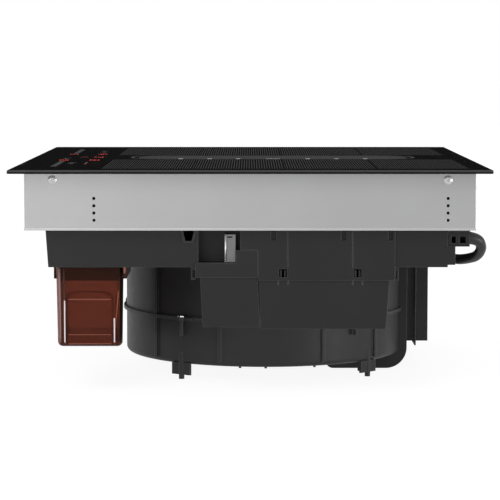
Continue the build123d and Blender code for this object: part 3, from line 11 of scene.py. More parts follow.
import bpy
import numpy as np
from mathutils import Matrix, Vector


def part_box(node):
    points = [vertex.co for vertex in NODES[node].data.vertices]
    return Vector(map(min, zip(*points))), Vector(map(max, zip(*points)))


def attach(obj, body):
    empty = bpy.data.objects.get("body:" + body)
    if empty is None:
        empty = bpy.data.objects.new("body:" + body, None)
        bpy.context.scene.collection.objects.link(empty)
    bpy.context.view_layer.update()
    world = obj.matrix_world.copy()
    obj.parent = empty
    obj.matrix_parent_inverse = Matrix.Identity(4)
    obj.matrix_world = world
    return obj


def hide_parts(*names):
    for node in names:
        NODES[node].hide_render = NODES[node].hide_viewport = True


bl_info = {
    "name": "Downdraft Induction Cooktop",
    "version": (1, 0, 0),
    "blender": (4, 5, 0),
    "location": "3D View > Sidebar > Cooktop",
    "description": "Dresses the packed cooktop with its finishes, prints and cable",
    "category": "Object",
}

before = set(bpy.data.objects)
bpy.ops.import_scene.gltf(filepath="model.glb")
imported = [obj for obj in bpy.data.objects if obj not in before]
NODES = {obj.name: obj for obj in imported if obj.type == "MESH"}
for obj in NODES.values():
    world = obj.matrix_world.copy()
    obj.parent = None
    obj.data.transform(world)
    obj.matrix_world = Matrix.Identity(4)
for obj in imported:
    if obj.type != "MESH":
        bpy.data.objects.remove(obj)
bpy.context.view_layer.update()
MM = 0.001
EVEN = (1, 1, 1)

# The mains cable's route from its gland to the stowed coil, as the frame's tube runs
CORD_ROUTE = (
    (0.2380, 0.2336, 0.1726),
    (0.2380, 0.2482, 0.1726),
    (0.2316, 0.2556, 0.1622),
    (0.2180, 0.2518, 0.1504),
    (0.2010, 0.2420, 0.1458),
    (0.1800, 0.2350, 0.1430),
    (0.1500, 0.2316, 0.1410),
    (0.1080, 0.2324, 0.1390),
    (0.0540, 0.2300, 0.1380),
    (-0.0020, 0.2315, 0.1370),
    (-0.0580, 0.2290, 0.1375),
    (-0.1100, 0.2296, 0.1385),
    (-0.1540, 0.2260, 0.1370),
    (-0.1900, 0.2190, 0.1280),
    (-0.2120, 0.2100, 0.1060),
    (-0.2210, 0.2040, 0.0760),
    (-0.2240, 0.1980, 0.0440),
    (-0.2260, 0.1840, 0.0180),
    (-0.2240, 0.1580, 0.00725),
    (-0.2170, 0.1220, 0.00725),
    (-0.2075, 0.0800, 0.00725),
    (-0.2020, 0.0400, 0.00725),
    (-0.2018, 0.0120, 0.00725),
)
COIL_CENTRE = (-0.2680, -0.0140)
COIL_LOW = 0.00725
COIL_PITCH = 0.0124
COIL_FIRST_R = 0.0600
COIL_TURNS = 2.05
COIL_INWARD_TURNS = 1.5
COIL_POINTS_PER_TURN = 20


def colour_value(name, description, default):
    """A colour property with its default."""
    return bpy.props.FloatVectorProperty(
        name=name, description=description, subtype="COLOR", size=3, default=default, min=0, max=1,
    )


class CooktopColours(bpy.types.PropertyGroup):
    """Colours of the finishes, as linear values."""

    glass: colour_value("Glass", "Body colour of the ceramic glass", (0.0022, 0.0023, 0.0025))
    print_grey: colour_value("Print", "Ceramic print on the zones", (0.066, 0.066, 0.066))
    display_red: colour_value("Display", "Lit digits of the touch field", (0.80, 0.02, 0.015))
    grille_coat: colour_value("Grille", "Matt coat of the cover grille", (0.018, 0.018, 0.0185))
    steel: colour_value("Tray steel", "Zinc coated sheet of the tray", (0.335, 0.335, 0.337))
    housing: colour_value("Housing", "Black plastic of the housing and boxes", (0.0125, 0.0125, 0.0127))
    volute: colour_value("Volute", "Dark grey plastic of the scroll casing", (0.0340, 0.0340, 0.0345))
    tank: colour_value("Tank", "Clear amber plastic of the drain tank", (0.300, 0.126, 0.088))
    rubber: colour_value("Cable", "Rubber sheath of the mains cable", (0.0105, 0.0105, 0.0108))


class CooktopSizes(bpy.types.PropertyGroup):
    """Sizes of the pieces that the scene adds."""

    cord_diameter: bpy.props.FloatProperty(
        name="Cable diameter", description="Outside diameter of the mains cable",
        default=0.0115, min=0.004, unit="LENGTH",
    )
    cord_length: bpy.props.FloatProperty(
        name="Cable length", description="Length of the mains cable outside the gland",
        default=1.5, min=0.5, unit="LENGTH",
    )
    relief_length: bpy.props.FloatProperty(
        name="Strain relief", description="Length of the tapered sleeve at the gland",
        default=0.022, min=0.01, unit="LENGTH",
    )


class CooktopStage(bpy.types.PropertyGroup):
    """Camera and light of the studio."""

    eye: bpy.props.FloatVectorProperty(
        name="Eye", description="Place of the camera", subtype="TRANSLATION", size=3,
        default=(2.579, -0.0014, 0.372), unit="LENGTH",
    )
    pitch: bpy.props.FloatProperty(
        name="Pitch", description="How far the camera looks down",
        default=math.radians(5.2), unit="ROTATION",
    )
    lens: bpy.props.FloatProperty(
        name="Lens", description="Focal length in millimetres on a 36 mm sensor",
        default=153.5, min=10,
    )
    world_light: bpy.props.FloatProperty(
        name="World", description="Strength of the even light from all round", default=0.50, min=0,
    )


# ---------------------------------------------------------------- finishes


def add(tree, kind, inputs=None, **settings):
    """Adds a node, sets its settings, and sets or links its inputs by name or number."""
    made = tree.nodes.new(kind)
    for name, value in settings.items():
        setattr(made, name, value)
    for name, value in (inputs or {}).items():
        if isinstance(value, bpy.types.NodeSocket):
            tree.links.new(value, made.inputs[name])
        else:
            made.inputs[name].default_value = value
    return made


def find(tree, kind):
    """The tree's first node of a type."""
    return next(n for n in tree.nodes if n.type == kind)


def math_node(tree, operation, a, b=0.0):
    """One Math node's result; a and b are numbers or sockets."""
    return add(tree, "ShaderNodeMath", {0: a, 1: b}, operation=operation).outputs[0]


def product(tree, result, *factors):
    """The product of numbers or sockets, multiplied from left to right."""
    for factor in factors:
        result = math_node(tree, "MULTIPLY", result, factor)
    return result


def between(tree, value, low, high):
    """1 between two limits, else 0."""
    over = math_node(tree, "GREATER_THAN", value, low)
    return product(tree, over, math_node(tree, "LESS_THAN", value, high))


def shaded(tree, colour, factor):
    """A colour or its socket, multiplied by a factor socket that stays near 1."""
    return add(tree, "ShaderNodeVectorMath", {0: colour, 3: factor}, operation="SCALE").outputs[0]


def blank_finish(name):
    """A new material: returns it, its tree, its shader and its Object coordinates."""
    material = bpy.data.materials.new(name)
    material.use_nodes = True
    tree = material.node_tree
    place = add(tree, "ShaderNodeTexCoord").outputs["Object"]
    return material, tree, find(tree, "BSDF_PRINCIPLED"), place


def spread(tree, socket, low, high):
    """A 0 to 1 socket mapped to low to high."""
    return add(tree, "ShaderNodeMapRange", {"Value": socket, "To Min": low, "To Max": high}).outputs[0]


def noise(tree, place, scale, detail=2.0, rough=0.5):
    """A noise value at so many features a metre."""
    inputs = {"Vector": place, "Scale": scale, "Detail": detail, "Roughness": rough}
    return add(tree, "ShaderNodeTexNoise", inputs).outputs[0]


def painted_edge_highlight(tree, radius, strength):
    """The normal rounded over `radius` mm, and a factor for a painted highlight on edges: 1 on flat
    ground, rising by `strength` where the true and the rounded normal's dot product falls to 0.85."""
    rounded = add(tree, "ShaderNodeBevel", {"Radius": radius * MM}, samples=6).outputs[0]
    true = add(tree, "ShaderNodeNewGeometry").outputs["Normal"]
    same = add(tree, "ShaderNodeVectorMath", {0: rounded, 1: true}, operation="DOT_PRODUCT").outputs["Value"]
    limits = {"Value": same, "From Min": 1.0, "From Max": 0.85, "To Min": 1.0, "To Max": 1.0 + strength}
    return rounded, add(tree, "ShaderNodeMapRange", limits).outputs[0]


def emboss(tree, shader, height, depth, strength, normal=None):
    """Links a bump of `depth` mm to the shader, on top of a normal where one is given."""
    inputs = {"Height": height, "Distance": depth * MM, "Strength": strength}
    if normal is not None:
        inputs["Normal"] = normal
    tree.links.new(add(tree, "ShaderNodeBump", inputs).outputs[0], shader.inputs["Normal"])


def moulded(name, colour, rough=0.5, grain=1600.0, depth=0.04, vary=0.16, edge=0.5, wear=1.3, gloss=0.4):
    """Moulded plastic: a fine spark grain in the bump, faint cloudy flow marks in the
    colour, a rubbed roughness, and rounded edges of `edge` mm lightened by a painted highlight."""
    flow_scale, rub_scale, rub_reach = 22.0, 95.0, 0.07
    material, tree, shader, place = blank_finish(name)
    rounded, bend = painted_edge_highlight(tree, edge, wear)
    flow = spread(tree, noise(tree, place, flow_scale, 4.0), 1 - vary, 1 + vary)
    # The edge factor lifts the colour on the edges: a painted highlight.
    tree.links.new(shaded(tree, tuple(colour), product(tree, flow, bend)), shader.inputs["Base Color"])
    rub = noise(tree, place, rub_scale, 3.0)
    tree.links.new(spread(tree, rub, rough - rub_reach, rough + rub_reach), shader.inputs["Roughness"])
    shader.inputs["Specular IOR Level"].default_value = gloss
    emboss(tree, shader, noise(tree, place, grain, 1.0), depth, 0.6, rounded)
    return material


def sheet_metal(name, colour, rough=0.34, stretch=(6.0, 1.0, 40.0), streak=60.0, depth=0.012, vary=0.10,
                edge=0.3, wear=0.18, metallic=1.0):
    """Rolled sheet: long faint rolling streaks in roughness and bump, cloudy patches in
    the colour as zinc coating has, and edges lightened by a painted highlight."""
    line_share, patch_share, patch_scale = 0.45, 0.55, 14.0
    material, tree, shader, place = blank_finish(name)
    rounded, bend = painted_edge_highlight(tree, edge, wear)
    shader.inputs["Metallic"].default_value = metallic
    rolled = add(tree, "ShaderNodeMapping", {"Vector": place, "Scale": stretch}).outputs[0]
    lines = noise(tree, rolled, streak, 5.0, 0.6)
    patches = product(tree, noise(tree, place, patch_scale, 3.0), patch_share)
    both = math_node(tree, "ADD", product(tree, lines, line_share), patches)
    # The edge factor lifts the colour on the edges: a painted highlight.
    factor = product(tree, spread(tree, both, 1 - vary, 1 + vary), bend)
    tree.links.new(shaded(tree, tuple(colour), factor), shader.inputs["Base Color"])
    tree.links.new(spread(tree, lines, rough - 0.06, rough + 0.08), shader.inputs["Roughness"])
    emboss(tree, shader, lines, depth, 0.5, rounded)
    return material


def dress(material, *names):
    """Gives CAD nodes a finish by their material slots."""
    for name in names:
        mesh = NODES[name].data
        if not mesh.materials:
            mesh.materials.append(material)
        for i in range(len(mesh.materials)):
            mesh.materials[i] = material


def dress_all(make, rows):
    """Makes each row's finish and gives it to the row's CAD nodes."""
    for name, colour, settings, nodes in rows:
        dress(make(name, colour, **settings), *nodes)


# ---------------------------------------------------------------- meshes


def surface(name, points, faces, material, body="root", smooth=True):
    """A mesh object from an (n, 3) array of points and a list or array of faces."""
    mesh = bpy.data.meshes.new(name)
    mesh.from_pydata(np.asarray(points).tolist(), [], [list(map(int, f)) for f in faces])
    mesh.validate()
    if smooth:
        mesh.polygons.foreach_set("use_smooth", np.ones(len(mesh.polygons), dtype=bool))
    mesh.materials.append(material)
    piece = bpy.data.objects.new(name, mesh)
    bpy.context.scene.collection.objects.link(piece)
    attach(piece, body)
    return piece


def grid_faces(rows, columns, wrap_rows=False, wrap_columns=False):
    """Quads of a rows by columns grid of points numbered row by row."""
    r = np.arange(rows if wrap_rows else rows - 1)
    c = np.arange(columns if wrap_columns else columns - 1)
    r, c = np.meshgrid(r, c, indexing="ij")
    r2, c2 = (r + 1) % rows, (c + 1) % columns
    quads = np.stack([r * columns + c, r * columns + c2, r2 * columns + c2, r2 * columns + c], axis=-1)
    return quads.reshape(-1, 4)


def corner_arcs(half_x, half_y, radius, middle_y, steps):
    """Points of a rectangle with round corners, anticlockwise: four arcs of `radius`
    whose ends the straight sides join."""
    turn = np.linspace(0.0, np.pi / 2, steps)
    corners = []
    for i, (sx, sy) in enumerate(((1, 1), (-1, 1), (-1, -1), (1, -1))):
        angle = turn + i * np.pi / 2
        corners.append(np.stack([sx * (half_x - radius) + radius * np.cos(angle),
                                 middle_y + sy * (half_y - radius) + radius * np.sin(angle)], 1))
    return np.concatenate(corners)


def unit(vectors):
    """The vectors at length 1."""
    return vectors / np.linalg.norm(vectors, axis=1)[:, None]


def inset(outline, distance):
    """A closed outline moved inwards along the mean normal of each point's two sides."""
    before = unit(outline - np.roll(outline, 1, axis=0))
    after = unit(np.roll(outline, -1, axis=0) - outline)
    inward = unit(np.stack([-(before + after)[:, 1], (before + after)[:, 0]], 1))
    stretch = np.abs(inward[:, 0] * -before[:, 1] + inward[:, 1] * before[:, 0])
    return outline + inward * (distance / np.maximum(stretch, 0.4))[:, None]


def at_height(points, z):
    """Flat points lifted to a height: one more value along the last axis."""
    return np.concatenate([points, np.full(points.shape[:-1] + (1,), z)], -1)


def box_corners(boxes):
    """Corners, anticlockwise, of boxes x0, y0, x1, y1 in mm: an (n, 4, 2) array in metres."""
    b = np.array(boxes) * MM
    return np.stack([b[:, [0, 1]], b[:, [2, 1]], b[:, [2, 3]], b[:, [0, 3]]], 1)


def plate(name, outline, rim, material, body):
    """A flat piece: its outline moved in by rim[i][0] at height rim[i][1], rim by rim from
    the underside up, with one face over each end."""
    rings = [at_height(inset(outline, d), z) for d, z in rim]
    count = len(outline)
    faces = grid_faces(len(rim), count, wrap_columns=True).tolist()
    faces.append(list(range(count))[::-1])
    faces.append([(len(rim) - 1) * count + i for i in range(count)])
    return surface(name, np.concatenate(rings), faces, material, body, smooth=False)


def tube(middle, radius, side, up, around):
    """Rings round a line of points: radius times (cos t along `side` plus sin t along
    `up`), at `around` even angles t. The radius is one number or one for each point."""
    turn = np.linspace(0, 2 * np.pi, around, endpoint=False)
    ring = np.cos(turn)[None, :, None] * side[:, None, :] + np.sin(turn)[None, :, None] * up[:, None, :]
    return (middle[:, None, :] + np.reshape(radius, (-1, 1, 1)) * ring).reshape(-1, 3)


def bead(name, path, radius, material, body="root", closed_ends=False, around=10):
    """A round bead: rings of `radius` carried along a polyline, each ring square to the
    mean direction of its two neighbours."""
    ahead = unit(np.gradient(path, axis=0))
    side = unit(np.cross(ahead, np.array([1.0, 0.0, 0.0])))
    points = tube(path, radius, side, np.cross(side, ahead), around)
    faces = grid_faces(len(path), around, wrap_columns=True)[:, ::-1].tolist()
    if closed_ends:
        faces += [list(range(around)), [(len(path) - 1) * around + i for i in range(around)][::-1]]
    return surface(name, points, faces, material, body)


def centreline(curve_object):
    """The smooth line of a curve object, as points read from it with no bevel."""
    curve = curve_object.data
    depth = curve.bevel_depth
    curve.bevel_depth = 0
    mesh = bpy.data.meshes.new_from_object(curve_object.evaluated_get(bpy.context.evaluated_depsgraph_get()))
    curve.bevel_depth = depth
    line = np.empty(len(mesh.vertices) * 3)
    mesh.vertices.foreach_get("co", line)
    bpy.data.meshes.remove(mesh)
    return line.reshape(-1, 3)


# ---------------------------------------------------------------- operators


class COOKTOP_OT_stage(bpy.types.Operator):
    """Make the floor, the studio light and the camera"""

    bl_idname = "cooktop.stage"
    bl_label = "Stage"

    def execute(self, context):
        """A wide pale floor, an even pale world, two soft boxes above and three low ones."""
        # Name, place, height of the point above the middle that it faces, size, watts
        lamps = (
            ("key", (2.4, -1.2, 2.2), 0.12, (2.0, 1.2), 30.0),
            ("top", (-0.5, 0.2, 2.8), 0.20, (1.8, 1.8), 14.0),
            ("low_left", (2.4, -0.95, 0.13), 0.11, (1.1, 0.22), 6.5),
            ("low_right", (1.5, 2.1, 0.13), 0.11, (1.1, 0.22), 24.0),
            ("side_left", (0.2, -2.4, 0.12), 0.11, (1.0, 0.20), 2.0),
        )
        self.floor(context)
        self.world(context)
        for name, place, aim_z, size, power in lamps:
            self.lamp(context, name, place, (0.0, 0.0, aim_z), size, power)
        self.flag(context)
        self.camera(context)
        context.scene.view_settings.view_transform = "Standard"
        return {"FINISHED"}

    def shown(self, tree):
        """1 for the rays that see the white backdrop: camera, glossy and transmission rays."""
        path = add(tree, "ShaderNodeLightPath").outputs
        mirrored = math_node(tree, "MAXIMUM", path["Is Glossy Ray"], path["Is Transmission Ray"])
        return math_node(tree, "MAXIMUM", path["Is Camera Ray"], mirrored)

    def card(self, context, name, corners, material, share, first, second):
        """A flat card whose surface mixes the shaders `first` and `second` by a share."""
        tree = material.node_tree
        mix = add(tree, "ShaderNodeMixShader", {0: share, 1: first.outputs[0], 2: second.outputs[0]})
        tree.links.new(mix.outputs[0], find(tree, "OUTPUT_MATERIAL").inputs["Surface"])
        mesh = bpy.data.meshes.new(name)
        mesh.from_pydata(corners, [], [(0, 1, 2, 3)])
        mesh.materials.append(material)
        card = bpy.data.objects.new(name, mesh)
        context.scene.collection.objects.link(card)
        return card

    def floor(self, context):
        """White paper that glows for the rays that see the backdrop, and keeps a faint
        shadow of the object because part of it is still lit paper."""
        side, glow, glow_share = 30.0, 1.14, 0.8
        material, tree, shader, place = blank_finish("floor_paper")
        paper = spread(tree, noise(tree, place, 3.0, 3.0), 0.985, 1.0)
        tree.links.new(shaded(tree, (0.93, 0.93, 0.93), paper), shader.inputs["Base Color"])
        shader.inputs["Roughness"].default_value = 0.9
        share = product(tree, self.shown(tree), glow_share)
        white = add(tree, "ShaderNodeEmission", {"Color": (1, 1, 1, 1), "Strength": glow})
        corners = [(-side, -side, 0), (side, -side, 0), (side, side, 0), (-side, side, 0)]
        floor = self.card(context, "floor", corners, material, share, shader, white)

    def world(self, context):
        """Full white for the rays that see the backdrop, weaker even light for the rest."""
        light = context.scene.cooktop_stage.world_light
        world = bpy.data.worlds.new("studio")
        context.scene.world = world
        world.use_nodes = True
        tree = world.node_tree
        ground = find(tree, "BACKGROUND")
        strength = math_node(tree, "ADD", product(tree, self.shown(tree), 1.0 - light), light)
        ground.inputs["Color"].default_value = (1, 1, 1, 1)
        tree.links.new(strength, ground.inputs["Strength"])

    def flag(self, context):
        """A dark card far behind the glass, as a studio uses to keep a gloss black top dark:
        only glossy rays meet it, and it fades out towards its top."""
        material, tree, shader, place = blank_finish("black_card")
        cloud = spread(tree, noise(tree, place, 4.0), 0.9, 1.1)
        tree.links.new(shaded(tree, (0.012, 0.012, 0.012), cloud), shader.inputs["Base Color"])
        shader.inputs["Roughness"].default_value = 0.9
        shader.inputs["Specular IOR Level"].default_value = 0.0
        far, half, low, fade_start, high = -2.2, 1.4, 0.262, 0.55, 1.00
        z = add(tree, "ShaderNodeSeparateXYZ", {0: place}).outputs[2]
        limits = {"Value": z, "From Min": fade_start, "From Max": high}
        fade = add(tree, "ShaderNodeMapRange", limits).outputs[0]
        clear = add(tree, "ShaderNodeBsdfTransparent")
        corners = [(far, -half, low), (far, half, low), (far, half, high), (far, -half, high)]
        flag = self.card(context, "flag", corners, material, fade, shader, clear)
        flag.visible_camera = flag.visible_diffuse = flag.visible_shadow = flag.visible_transmission = False

    def camera(self, context):
        """The camera on the user's right, level but for its pitch."""
        stage = context.scene.cooktop_stage
        camera = bpy.data.cameras.new("camera")
        camera.lens = stage.lens
        camera.sensor_width = 36.0
        camera.clip_end = 100.0
        eye = bpy.data.objects.new("camera", camera)
        eye.location = stage.eye
        eye.rotation_euler = (math.pi / 2 - stage.pitch, 0.0, math.pi / 2)
        context.scene.collection.objects.link(eye)
        context.scene.camera = eye

    def lamp(self, context, name, place, aim, size, power):
        """A soft box of width and height `size` at `place`, turned to face `aim`."""
        light = bpy.data.lights.new(name, "AREA")
        light.shape = "RECTANGLE"
        light.size, light.size_y = size
        light.energy = power
        lamp = bpy.data.objects.new(name, light)
        lamp.location = place
        away = np.array(place) - np.array(aim)
        flat = math.hypot(away[0], away[1])
        lamp.rotation_euler = (math.atan2(flat, away[2]), 0.0, math.atan2(away[0], -away[1]))
        context.scene.collection.objects.link(lamp)


class COOKTOP_OT_cable(bpy.types.Operator):
    """Make the mains cable, its strain relief, its stowed coil and its bare cores"""

    bl_idname = "cooktop.cable"
    bl_label = "Mains cable"

    def execute(self, context):
        """One smooth curve from the gland, along the route and round the coil."""
        sizes, colours = context.scene.cooktop_sizes, context.scene.cooktop_colours
        rubber = moulded("cable_rubber", colours.rubber, rough=0.46, grain=2600.0, depth=0.03, vary=0.2,
                         edge=0.2)
        points = np.concatenate([np.array(CORD_ROUTE), self.coil()])
        curve = bpy.data.curves.new("mains_cable", "CURVE")
        curve.dimensions = "3D"
        curve.bevel_depth = 1.0
        curve.bevel_resolution = 6
        curve.use_fill_caps = True
        spline = curve.splines.new("NURBS")
        spline.points.add(len(points) - 1)
        spline.points.foreach_set("co", np.concatenate([points, np.ones((len(points), 1))], 1).ravel())
        spline.points.foreach_set("radius", np.full(len(points), sizes.cord_diameter / 2))
        spline.order_u = 3
        spline.use_endpoint_u = True
        spline.resolution_u = 8
        curve.materials.append(rubber)
        cable = bpy.data.objects.new("mains_cable", curve)
        context.scene.collection.objects.link(cable)
        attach(cable, "root")
        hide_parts("power_cord", "cord_coil")
        self.relief(cable, sizes, rubber)
        dress(moulded("tie_plastic", (0.30, 0.30, 0.29), rough=0.4), "coil_tie")
        dress(moulded("core_sheath", (0.09, 0.10, 0.30), rough=0.4, edge=0.1), "core_ends")
        return {"FINISHED"}

    def coil(self):
        """The stowed coil, clockwise from above. It winds inwards by a pitch a turn and then
        outwards again, and climbs by one pitch in an S curve (3 c squared less 2 c cubed)
        over the last half turn inwards."""
        turns = np.linspace(0.0, COIL_TURNS, int(COIL_TURNS * COIL_POINTS_PER_TURN) + 1)
        outwards = np.maximum(turns - COIL_INWARD_TURNS, 0.0)
        radius = COIL_FIRST_R + COIL_PITCH * (0.5 - np.minimum(turns, COIL_INWARD_TURNS) + outwards)
        climb = np.clip((turns - (COIL_INWARD_TURNS - 0.5)) / 0.5, 0.0, 1.0)
        height = COIL_LOW + COIL_PITCH * climb * climb * (3.0 - 2.0 * climb)
        angle = -2.0 * np.pi * turns
        x, y = COIL_CENTRE
        return np.stack([x + radius * np.cos(angle), y + radius * np.sin(angle), height], 1)

    def relief(self, cable, sizes, rubber):
        """A sleeve on the cable's first stretch: rings of radius r(s) along its line, where
        r falls from 7.4 mm to just over the cable's, and both ends sink into the cable."""
        widest, over, sunk, taper, rings, around = 0.0074, 0.0002, 0.0004, 0.8, 45, 32
        line = centreline(cable)
        run = np.concatenate([[0.0], np.cumsum(np.linalg.norm(np.diff(line, axis=0), axis=1))])
        along = np.linspace(0.0, sizes.relief_length, rings)
        middle = np.stack([np.interp(along, run, line[:, k]) for k in range(3)], 1)
        ahead = unit(np.gradient(middle, axis=0))
        side = np.tile(np.array([1.0, 0.0, 0.0]), (rings, 1))
        side = unit(side - ahead * np.sum(side * ahead, axis=1)[:, None])
        thin = sizes.cord_diameter / 2 + over
        r = thin + (widest - thin) * (1.0 - along / along[-1]) ** taper
        r[[0, -1]] = sizes.cord_diameter / 2 - sunk
        points = tube(middle, r, side, np.cross(side, ahead), around)
        faces = grid_faces(rings, around, wrap_columns=True)
        piece = surface("cable_strain_relief", points, faces[:, ::-1], rubber)


class COOKTOP_OT_steel(bpy.types.Operator):
    """Finish the tray, its screws, the bracket and the other metal"""

    bl_idname = "cooktop.steel"
    bl_label = "Steel and other metal"

    def execute(self, context):
        """The tray's finish with a painted highlight on its hem, then the other metals."""
        tray = sheet_metal("tray_steel", context.scene.cooktop_colours.steel, rough=0.42, metallic=0.75,
                           edge=0.8, wear=0.4)
        self.painted_hem_highlight(tray)
        dress(tray, "steel_tray")
        dress_all(sheet_metal, (
            ("screw_steel", (0.62, 0.62, 0.63), dict(rough=0.25, stretch=EVEN, streak=300.0),
             ("volute_screws",)),
            ("bracket_steel", (0.155, 0.155, 0.155),
             dict(rough=0.34, vary=0.42, streak=160.0, edge=0.8, wear=1.4), ("fixing_bracket",)),
        ))
        self.bracket_edge()
        self.tray_screws()
        dress_all(sheet_metal, (
            ("filter_steel", (0.55, 0.55, 0.55), dict(rough=0.3, stretch=(40, 1, 1)), ("filter_cassette",)),
            ("filter_mesh_wire", (0.50, 0.50, 0.51), dict(rough=0.4, stretch=EVEN, streak=500.0),
             ("filter_mesh",)),
            ("sink_alloy", (0.66, 0.66, 0.68), dict(rough=0.32, stretch=(1, 12, 1)),
             ("heat_sinks", "left_coil_support", "right_coil_support")),
            ("motor_steel", (0.40, 0.40, 0.41), dict(rough=0.35, stretch=(1, 1, 12)), ("blower_motor",)),
            ("bearing_steel", (0.60, 0.60, 0.60), dict(rough=0.18, stretch=EVEN, streak=400.0),
             ("motor_bearings", "blower_shaft")),
        ))
        return {"FINISHED"}

    def painted_hem_highlight(self, material):
        """Paints a highlight on the tray's folded lower hem: the colour times 1.22 up to the
        hem's top and times 1 above it."""
        tree = material.node_tree
        base = find(tree, "BSDF_PRINCIPLED").inputs["Base Color"]
        z = add(tree, "ShaderNodeSeparateXYZ", {0: find(tree, "TEX_COORD").outputs["Object"]}).outputs[2]
        hem_top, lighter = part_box("steel_tray")[0].z + 2.6 * MM, 1.22
        limits = {"Value": z, "From Min": hem_top, "From Max": hem_top + 0.3 * MM, "To Min": lighter}
        hem_highlight = add(tree, "ShaderNodeMapRange", limits).outputs[0]
        tree.links.new(shaded(tree, base.links[0].from_socket, hem_highlight), base)

    def bracket_edge(self):
        """The bracket's rolled left edge: a bead that leans a little, coloured bright as a painted highlight.
        """
        # The near-white steel colour is a painted highlight along the edge.
        bright = sheet_metal("bracket_edge_highlight", (0.85, 0.85, 0.85), rough=0.3, stretch=EVEN, streak=200.0,
                             metallic=0.6)
        low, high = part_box("fixing_bracket")
        path = np.array([(high.x - 0.9 * MM, low.y + 0.9 * MM, low.z + 1.2 * MM),
                         (high.x - 0.9 * MM, low.y + 1.6 * MM, high.z)])
        bead("bracket_rolled_edge", path, 1.0 * MM, bright, closed_ends=True)

    def screw_head(self, limit):
        """Radius, angle and height of a pan head over a polar grid. The height is a dome on
        the washer, less a cross recess where either arm is near; the last five rings step
        down over the washer. It stays under `limit`."""
        head, washer, thick, dome = 4.0 * MM, 4.9 * MM, 0.6 * MM, 1.15 * MM
        arm_half, arm_reach, recess = 0.62 * MM, 2.5 * MM, 1.0 * MM
        rim = np.array([0.9, 0.55, 0.5, 0.35, 0.0]) * MM
        outer = [head, head, washer - 0.2 * MM, washer, washer]
        r = np.concatenate([np.linspace(0.15, 3.95, 26) * MM, outer])
        rr, tt = np.meshgrid(r, np.linspace(0, 2 * np.pi, 64, endpoint=False), indexing="ij")
        across = np.minimum(np.abs(rr * np.cos(tt)), np.abs(rr * np.sin(tt)))
        arm = np.clip((arm_half - across) / (0.25 * MM), 0, 1) * np.clip((arm_reach - rr) / (0.4 * MM), 0, 1)
        height = thick + dome * np.sqrt(np.clip(1 - (rr / head) ** 2.6, 0, 1)) - recess * arm
        height[-len(rim):] = rim[:, None]
        return rr, tt, np.clip(height, 0.0, limit)

    def tray_screws(self):
        """Four pan heads with a pressed washer, two on each side of the tray."""
        zinc = sheet_metal("screw_zinc", (0.55, 0.55, 0.55), rough=0.36, stretch=EVEN, streak=300.0, edge=0.2,
                           wear=0.5, metallic=0.6)
        low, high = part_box("tray_screws")
        wall, edge, turn, z = 0.276, 4.2 * MM, 0.4, (low.z + high.z) / 2
        rr, tt, height = self.screw_head(high.x - wall - 0.05 * MM)
        count = rr.shape[1]
        cell = grid_faces(*rr.shape, wrap_columns=True)
        fan = np.stack([np.full(count, rr.size), np.arange(count), np.roll(np.arange(count), -1)], 1)
        points, faces = [], []
        for side in (-1, 1):
            turned = slice(None) if side > 0 else slice(None, None, -1)
            for y in (low.y + edge, high.y - edge):
                grid = np.stack([side * (wall + height), y + rr * np.cos(tt + turn),
                                 z + rr * np.sin(tt + turn)], -1)
                start = len(points) * (rr.size + 1)
                faces += (cell[:, turned][:, ::-1] + start).tolist() + (fan[:, turned] + start).tolist()
                points.append(np.concatenate([grid.reshape(-1, 3), [[grid[0, 0, 0], y, z]]]))
        screws = surface("tray_screw_heads", np.concatenate(points), faces, zinc)
        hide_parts("tray_screws")


class COOKTOP_OT_plastics(bpy.types.Operator):
    """Finish the housing, the boxes, the scroll casing and the ducts"""

    bl_idname = "cooktop.plastics"
    bl_label = "Plastics"

    def execute(self, context):
        """The plastics by finish: the first three have colours that can be set."""
        colours = context.scene.cooktop_colours
        dress_all(moulded, (
            ("housing_plastic", colours.housing, dict(rough=0.42, edge=0.9, wear=6.5, gloss=0.2),
             ("housing_tray", "electronics_box", "electronics_cover", "connection_box", "terminal_box",
              "cable_gland")),
            ("volute_plastic", colours.volute, dict(rough=0.46, edge=0.9, wear=3.0, gloss=0.14),
             ("volute_upper", "volute_lower")),
            ("collector_plastic", colours.housing, dict(rough=0.45, edge=0.9, wear=7.0, gloss=0.2),
             ("outlet_collector", "outlet_spigot", "intake_duct")),
            ("frame_plastic", (0.010, 0.010, 0.010), dict(rough=0.5, gloss=0.08),
             ("inlet_frame", "tank_collar")),
            ("wheel_plastic", (0.12, 0.12, 0.125), dict(rough=0.45),
             ("impeller", "left_fan_rotor", "right_fan_rotor")),
            ("fan_plastic", (0.03, 0.03, 0.03), dict(rough=0.5), ("left_fan_frame", "right_fan_frame")),
            ("hose_rubber", (0.05, 0.05, 0.052), dict(rough=0.6), ("drain_hose", "tank_seal")),
            ("sealant", (0.03, 0.03, 0.03), dict(rough=0.7, depth=0.1), ("glass_bond",)),
        ))
        return {"FINISHED"}


